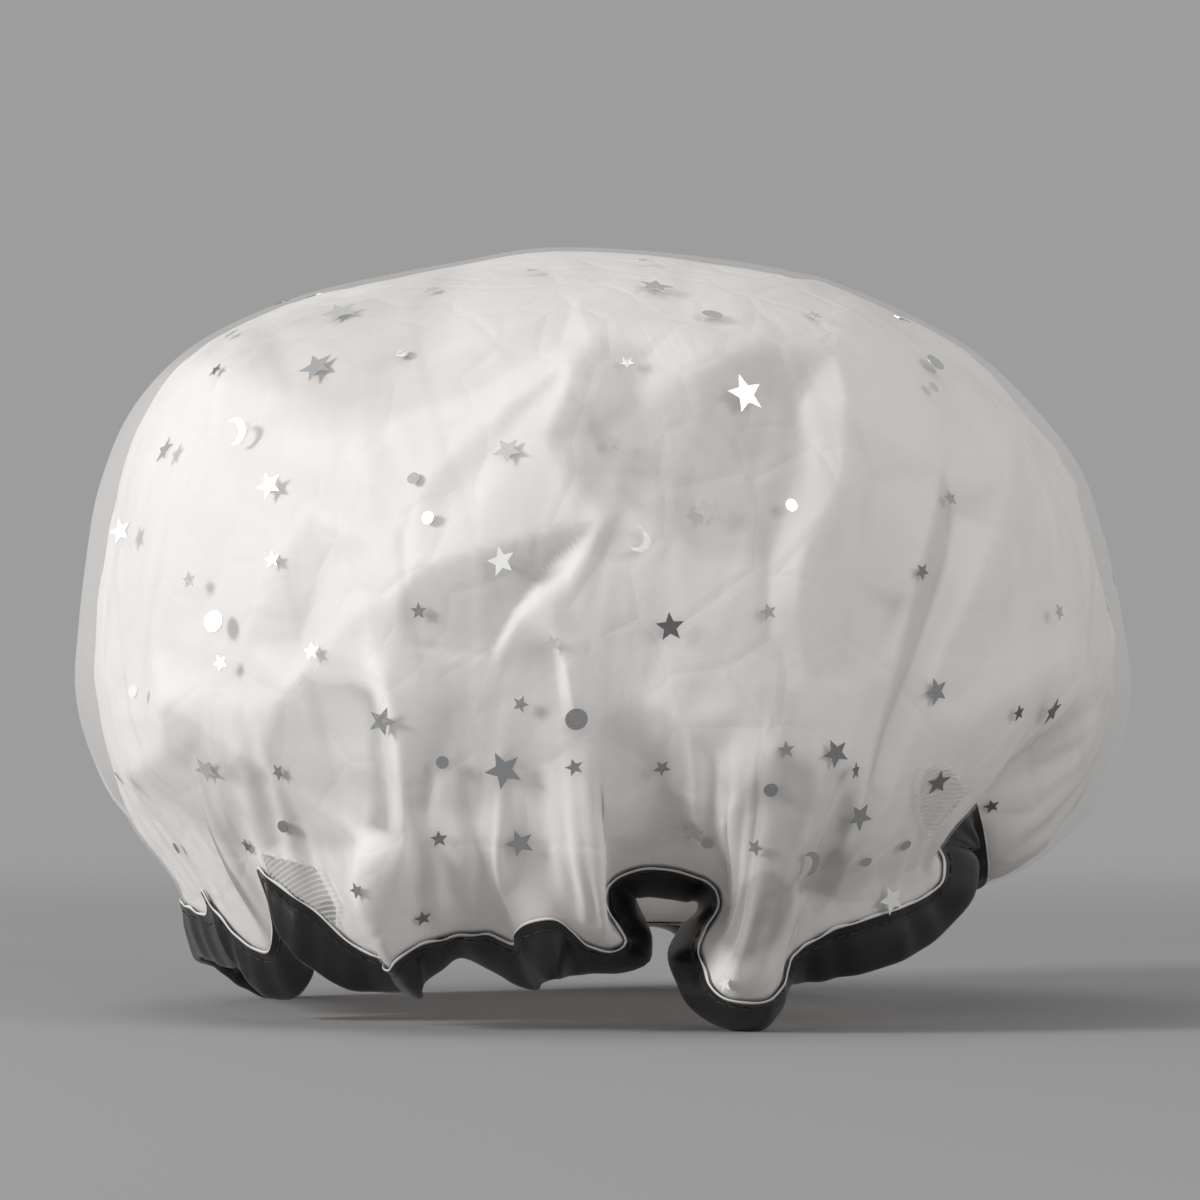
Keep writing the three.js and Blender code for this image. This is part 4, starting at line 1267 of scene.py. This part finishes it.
def stitch_tree():
    """Geometry nodes that lay stitches along a path: a capsule at each spot, then real meshes."""
    tree = bpy.data.node_groups.new("stitch_run", "GeometryNodeTree")
    face = tree.interface
    face.new_socket("Geometry", in_out="INPUT", socket_type="NodeSocketGeometry")
    for name, value in (("Pitch", 0.0032), ("Stitch length", 0.0026), ("Thread radius", 0.0002)):
        socket = face.new_socket(name, in_out="INPUT", socket_type="NodeSocketFloat")
        socket.default_value = value
    face.new_socket("Thread", in_out="INPUT", socket_type="NodeSocketMaterial")
    face.new_socket("Geometry", in_out="OUTPUT", socket_type="NodeSocketGeometry")
    given = add_node(tree, "NodeGroupInput").outputs
    path = add_node(tree, "GeometryNodeMeshToCurve", {"Mesh": given["Geometry"]}).outputs["Curve"]
    inputs = {"Curve": path, "Length": given["Pitch"]}
    spots = add_node(tree, "GeometryNodeResampleCurve", inputs, mode="LENGTH")
    tangent = add_node(tree, "GeometryNodeInputTangent").outputs["Tangent"]
    align = add_node(tree, "FunctionNodeAlignEulerToVector", {"Vector": tangent}, axis="Z")
    ball = add_node(tree, "GeometryNodeMeshUVSphere", {
        "Segments": 8, "Rings": 6, "Radius": given["Thread radius"],
    })
    share = math_node(tree, "DIVIDE", given["Stitch length"], given["Thread radius"])
    stretch = math_node(tree, "MULTIPLY", share, 0.5)
    scale = add_node(tree, "ShaderNodeCombineXYZ", {"X": 1, "Y": 1, "Z": stretch})
    lay = add_node(tree, "GeometryNodeInstanceOnPoints", {
        "Points": spots.outputs["Curve"], "Instance": ball.outputs["Mesh"],
        "Rotation": align.outputs["Rotation"], "Scale": scale.outputs["Vector"],
    })
    real = add_node(tree, "GeometryNodeRealizeInstances", {"Geometry": lay.outputs["Instances"]})
    paint = add_node(tree, "GeometryNodeSetMaterial", {
        "Geometry": real.outputs["Geometry"], "Material": given["Thread"],
    })
    add_node(tree, "NodeGroupOutput", {"Geometry": paint.outputs["Geometry"]})
    return tree


def make_seam(name, rim, tree, side, node):
    """A run of stitches along one leaf of the tape."""
    line = ruffled(rim, [(SEAM_INSET, side * SEAM_OUT)], 0.18)
    points = on_rim(rim, line)[:, 0] * METRES
    mesh = bpy.data.meshes.new(name)
    mesh.from_pydata([tuple(p) for p in points], [(i, (i + 1) % COLUMNS) for i in range(COLUMNS)], [])
    path = add_object(name + "_path", mesh)
    modifier = path.modifiers.new("stitches", "NODES")
    modifier.node_group = tree
    for item in tree.interface.items_tree:
        if item.in_out == "INPUT" and item.name == "Thread":
            modifier[item.identifier] = finishes["thread"]
    bpy.context.view_layer.update()
    made = bpy.data.meshes.new_from_object(path.evaluated_get(bpy.context.evaluated_depsgraph_get()))
    bpy.data.objects.remove(path)
    made.polygons.foreach_set("use_smooth", [True] * len(made.polygons))
    seam = add_object(name, made)
    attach(seam, "root")
    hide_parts(node)


def film_folds(base, turn, row):
    """The film's own folds, and how sharply they bend. On the front, the folds that chance draws give
    way to the facets between the fold lines."""
    ends = smooth((1 - row) * 9) * smooth(row * 6)
    low = smooth(row * 2.4)
    front = smooth(-3 * base[..., 1] / CAP_DEPTH)
    chance = np.zeros(base.shape[:2])
    for field, (*size, lost, left) in zip(crumple(turn), CHANCE_FACETS):
        chance += field * (1 - lost * front) * (left + (1 - left) * low)
    chance *= CHANCE_PROUD * ends
    fans = great_creases(base, random.Random(SEED + 4), FAN_CREASES) * (1 - 0.8 * front)
    fans = (fans + spread(film_planes(base), 1)) * ends
    # The second value, how sharply the folds bend, becomes a painted highlight on crests and painted shade
    # in valleys in the film's colour.
    return chance + fans, bends(fans) + 0.5 * bends(chance)


def make_cloth(rim):
    """The net and the film. The film lies inside and is crumpled; the net spans its crests."""
    base = smooth_cloth(rim)
    normals = grid_normals(base)
    row = np.linspace(0, 1, ROWS)[None, :]
    # 1 on the open cloth, down to 0 at the seam.
    free = smooth((1 - row) * 9)
    shared = fold_field(base, rim.turn) * free
    shared += 0.9 * rim.gather[:, None] * smooth((row - 0.78) * 5) * smooth((1 - row) * 14)
    crumples, lines = film_folds(base, rim.turn, row)
    drape = spread(closing(crumples, SPAN_REACH), DRAPE_REACH)
    shift = spread(drape, MEAN_REACH)
    aside = np.cos(rim.turn)[:, None]
    inset = LEFT_INSET * np.clip(-aside, 0, 1)**3 + RIGHT_INSET * np.clip(aside, 0, 1)**4
    inset = inset * smooth((row - 0.36) * 7) * smooth((1 - row) * 4)
    pushed = shared + crumples - shift - inset
    net = shared + np.clip(drape - shift, DEEPEST_DRAPE, HIGHEST_DRAPE) + net_creases(base) * free
    net += NET_SOFTNESS * np.logaddexp(0, (pushed - net) / NET_SOFTNESS)
    film = pushed - FILM_BEHIND * free
    lay = lambda field, out: base + normals * (field + out)[..., None]
    hem = lambda out: on_rim(rim, ruffled(rim, [(HEM_START, out), (HEM_DEPTH, out)]))
    # The film carries its painted crease highlight and shade, and its patches of painted shade and light.
    film_traits = {"painted_crease_tone": spread(lines, 1), "painted_film_tone": painted_film_tones(base)}
    film_piece = cloth_object("film_sheet", lay(film, FILM_OUT), hem(FILM_OUT), film_traits)
    net_traits = {"veil": np.clip(inset / FULL_VEIL, 0, 1)}
    net_piece = cloth_object("net_sheet", lay(net, NET_OUT), hem(NET_OUT), net_traits)
    cut_notches(film_piece)
    mark_notches(net_piece)
    dress(film_piece, "film", "film_liner")
    dress(net_piece, "net", "net_cover")
    return net_piece


def cut_notches(film_piece):
    """Cuts the film away behind the net where the film's edge is notched at the front."""
    mesh = bmesh.new()
    mesh.from_mesh(film_piece.data)
    for corners in FILM_NOTCHES:
        sights = [Vector(from_view(x, y, 0)) * METRES - EYE for x, y in corners]
        walls = [b.cross(a).normalized() for a, b in in_pairs(sights)]
        near = lambda face, spare: face.calc_center_median().y < 0 and all(
            (face.calc_center_median() - EYE).dot(wall) < spare for wall in walls)
        for wall in walls:
            faces = [face for face in mesh.faces if near(face, NOTCH_SPARE)]
            edges = {edge for face in faces for edge in face.edges}
            verts = {vert for face in faces for vert in face.verts}
            bmesh.ops.bisect_plane(mesh, geom=faces + list(edges) + list(verts), plane_co=EYE, plane_no=wall)
        bmesh.ops.delete(mesh, geom=[face for face in mesh.faces if near(face, 0)], context="FACES")
    mesh.to_mesh(film_piece.data)
    mesh.free()


def mark_notches(net_piece):
    """Notes on the net that nothing lies behind it at the film's notches."""
    mesh = net_piece.data
    layer = mesh.attributes["veil"]
    for vert in mesh.vertices:
        if vert.co.y > 0:
            continue
        x, y = to_view(np.array(vert.co) / METRES)
        for corners in FILM_NOTCHES:
            turns = [
                (bx - ax) * (y - ay) - (by - ay) * (x - ax)
                for (ax, ay), (bx, by) in in_pairs(corners)
            ]
            if min(turns) > NOTCH_BORDER:
                layer.data[vert.index].value = BARE_NET


def middle_of(mesh):
    """The mean of a mesh's points."""
    return sum((v.co for v in mesh.verts), Vector()) / len(mesh.verts)


def press_on(mesh, net, normal, tilt):
    """Bends a foil to the net: both of its faces lie on one smooth patch that clears the net."""
    centre = middle_of(mesh)
    across = normal.orthogonal().normalized()
    upward = normal.cross(across)
    rows, heights = [], []
    for vert in mesh.verts:
        spot, facing, index, distance = net.ray_cast(vert.co + normal * PRESS_FROM, -normal, PRESS_REACH)
        if spot is None:
            continue
        x, y = (vert.co - centre).dot(across), (vert.co - centre).dot(upward)
        rows.append((1, x, y, x * x, x * y, y * y))
        heights.append((spot - centre).dot(normal))
    fit = np.linalg.lstsq(np.array(rows), np.array(heights), rcond=1e-5)[0]
    fit += np.array([0, tilt.dot(across), tilt.dot(upward), 0, 0, 0])
    spare = np.max(np.array(heights) - np.array(rows) @ fit)
    for vert in mesh.verts:
        upper = (vert.co - centre).dot(normal) > 0
        x, y = (vert.co - centre).dot(across), (vert.co - centre).dot(upward)
        height = np.dot(fit, (1, x, y, x * x, x * y, y * y)) + spare
        height += (FOIL_GAP + FOIL_WALL * upper) * METRES
        vert.co = centre + across * x + upward * y + normal * height


def foil_manner(mesh, normal):
    """A small turn of a foil off the net, and its painted reflection: a darker or paler tint that stands in
    for what the foil reflects. Some foils are turned to catch a lamp and painted palest as a painted
    highlight; foils at the back take theirs by chance.
    """
    centre = middle_of(mesh)
    pixel = to_view(np.array(centre) / METRES)
    draws = random.Random(round(pixel[0]) * 7 + round(pixel[1]))
    tilt = Vector([draws.uniform(-0.1, 0.1) for _ in range(3)])
    if centre.y > 0:
        return tilt, draws.choice([0.1, PLAIN_PAINTED_REFLECTION, PLAIN_PAINTED_REFLECTION, 0.6, 0.8])
    aims = [(Vector(way).normalized() + Vector((0, -1, 0))).normalized() for way in LAMP_WAYS]
    aim = max(aims, key=normal.dot)
    towards = normal * normal.dot(aim) - aim
    if any(math.dist(spot, pixel) < BRIGHT_REACH for spot in BRIGHT_FOILS):
        # A foil turned to a lamp is also painted palest, a painted highlight.
        return towards * min(1, 0.4 / max(0.01, (aim - normal).length)), 1
    if normal.dot(aim) > 0.96:
        tilt -= towards * 0.2 / max(0.05, towards.length)
    painted_reflections = [painted_reflection for x, y, painted_reflection in FOIL_PAINTED_REFLECTIONS if math.dist((x, y), pixel) < PAINTED_REFLECTION_REACH]
    return tilt, painted_reflections[0] if painted_reflections else PLAIN_PAINTED_REFLECTION


def frame_foil(name):
    """A foil of the frame and its outward normal, cut fine enough to bend."""
    mesh = bmesh.new()
    mesh.from_mesh(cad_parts[name].data)
    bmesh.ops.remove_doubles(mesh, verts=mesh.verts, dist=1e-6)
    bmesh.ops.dissolve_limit(mesh, angle_limit=0.02, verts=mesh.verts, edges=mesh.edges)
    widest = max(mesh.faces, key=lambda face: face.calc_area())
    normal = widest.normal.copy()
    if normal.dot(widest.calc_center_median() - HEART) < 0:
        normal = -normal
    bmesh.ops.triangulate(mesh, faces=mesh.faces)
    coarse = [edge for edge in mesh.edges if edge.calc_length() > FOIL_STEP * METRES]
    bmesh.ops.subdivide_edges(mesh, edges=coarse, cuts=2, use_grid_fill=True)
    return mesh, normal


def join_foils(name, foils, net, *nodes):
    """One piece from foils with their normals, each bent to the net, tilted and given its painted
    reflection.
    """
    joined = bmesh.new()
    painted_reflections = []
    for one, normal in foils:
        tilt, painted_reflection = foil_manner(one, normal)
        press_on(one, net, normal, tilt)
        painted_reflections += [painted_reflection] * len(one.verts)
        loose = bpy.data.meshes.new(name + "_loose")
        one.to_mesh(loose)
        one.free()
        joined.from_mesh(loose)
        bpy.data.meshes.remove(loose)
    joined.normal_update()
    data = bpy.data.meshes.new(name)
    joined.to_mesh(data)
    joined.free()
    data.attributes.new("painted_reflection", "FLOAT", "POINT").data.foreach_set("value", painted_reflections)
    dress(add_object(name, data), "foil", *nodes)


def make_foils(net):
    """The foil pieces, each bent to the net where the frame has it."""
    for kind in ("star_big", "star_mid", "star_small", "dot_big", "dot_small", "moon"):
        names = sorted(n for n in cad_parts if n.startswith("foil_" + kind))
        join_foils("foils_" + kind, [frame_foil(name) for name in names], net, *names)


def foil_outline(kind):
    """The outline of a foil in its own plane, anticlockwise."""
    size = FOIL_SIZES[kind] * METRES
    spot = lambda reach, turn: (reach * math.cos(turn), reach * math.sin(turn))
    if kind.startswith("star"):
        reaches = [size * (STAR_WAIST if i % 2 else 1) for i in range(10)]
        return [spot(reach, math.pi / 2 + i * math.pi / 5) for i, reach in enumerate(reaches)]
    if kind.startswith("dot"):
        return [spot(size, i * math.pi / 8) for i in range(16)]
    outside = [spot(size, math.radians(a)) for a in range(60, 301, 20)]
    bite = [spot(MOON_BITE * size, math.radians(a)) for a in range(255, 104, -25)]
    return outside + [(MOON_SHIFT * size + x, y) for x, y in bite]


def stray_foil(kind, spot, normal, spin):
    """One foil over a spot of the net."""
    mesh = bmesh.new()
    side = Vector((0, 0, 1)).cross(normal).normalized() if abs(normal.z) < 0.95 else Vector((1, 0, 0))
    up = normal.cross(side)
    c, s = math.cos(math.radians(spin)), math.sin(math.radians(spin))
    corners = []
    for x, y in foil_outline(kind):
        along, above = x * c - y * s, x * s + y * c
        corners.append(mesh.verts.new(spot + side * along + up * above))
    face = mesh.faces.new(corners)
    made = bmesh.ops.extrude_face_region(mesh, geom=[face])
    for vert in made["geom"]:
        if isinstance(vert, bmesh.types.BMVert):
            vert.co += normal * FOIL_WALL * METRES
    bmesh.ops.recalc_face_normals(mesh, faces=mesh.faces)
    return mesh


def make_stray_foils(net):
    """The small foils between the main ones: at read places on the front, by chance at the back."""
    draws = random.Random(SEED + 2)
    eye = Vector((0, -VIEW_DISTANCE, EYE_HEIGHT)) * METRES
    rays = [(kind, eye, Vector(from_view(x, y, 0)) * METRES - eye, spin) for kind, x, y, spin in STRAY_FOILS]
    for i in range(BACK_FOILS):
        turn = math.pi * (i + draws.random()) / BACK_FOILS
        rise = draws.uniform(-0.5, 1.1)
        way = Vector((math.cos(turn) * math.cos(rise), math.sin(turn) * math.cos(rise), math.sin(rise)))
        kind = draws.choice(["star_mid", "star_small", "star_small", "dot_small", "dot_small", "moon"])
        rays.append((kind, HEART + way * THROW_FROM, -way, draws.uniform(0, 360)))
    foils = []
    for kind, start, way, spin in rays:
        spot, normal, index, distance = net.ray_cast(start, way.normalized())
        if spot is None:
            continue
        if normal.dot(way) > 0:
            normal = -normal
        foils.append((stray_foil(kind, spot, normal, spin), normal))
    join_foils("foils_stray", foils, net)


def make_film_edge(rim):
    """The film's trimmed edge, which shows as a thin pale line along the tape on both of its sides."""
    draws = random.Random(SEED + 3)
    waver = 0.2 * rim.gather
    for side, name in ((1, "film_edge_outside"), (-1, "film_edge_inside")):
        rings = ruffled(rim, np.array(FILM_EDGE) * (1, side), 0.12)
        rings[:, 0, 0] += waver + draws.uniform(-0.1, 0.1)
        rings[:, 3, 0] += waver
        # The corners of one strip run the other way round, so that both strips face outwards.
        strip = loft_object(name, on_rim(rim, rings[:, ::-side]), "along_tape")
        dress(strip, "film")


make_camera()
make_studio()
rim = fine_rim()
make_tape(rim)
net_piece = make_cloth(rim)
stitches = stitch_tree()
make_seam("needle_stitches", rim, stitches, 1, "needle_thread")
make_seam("bobbin_stitches", rim, stitches, -1, "bobbin_thread")
bpy.context.view_layer.update()
net_tree = BVHTree.FromObject(net_piece, bpy.context.evaluated_depsgraph_get())
make_foils(net_tree)
make_stray_foils(net_tree)
make_film_edge(rim)
bpy.context.scene.view_settings.view_transform = "Standard"
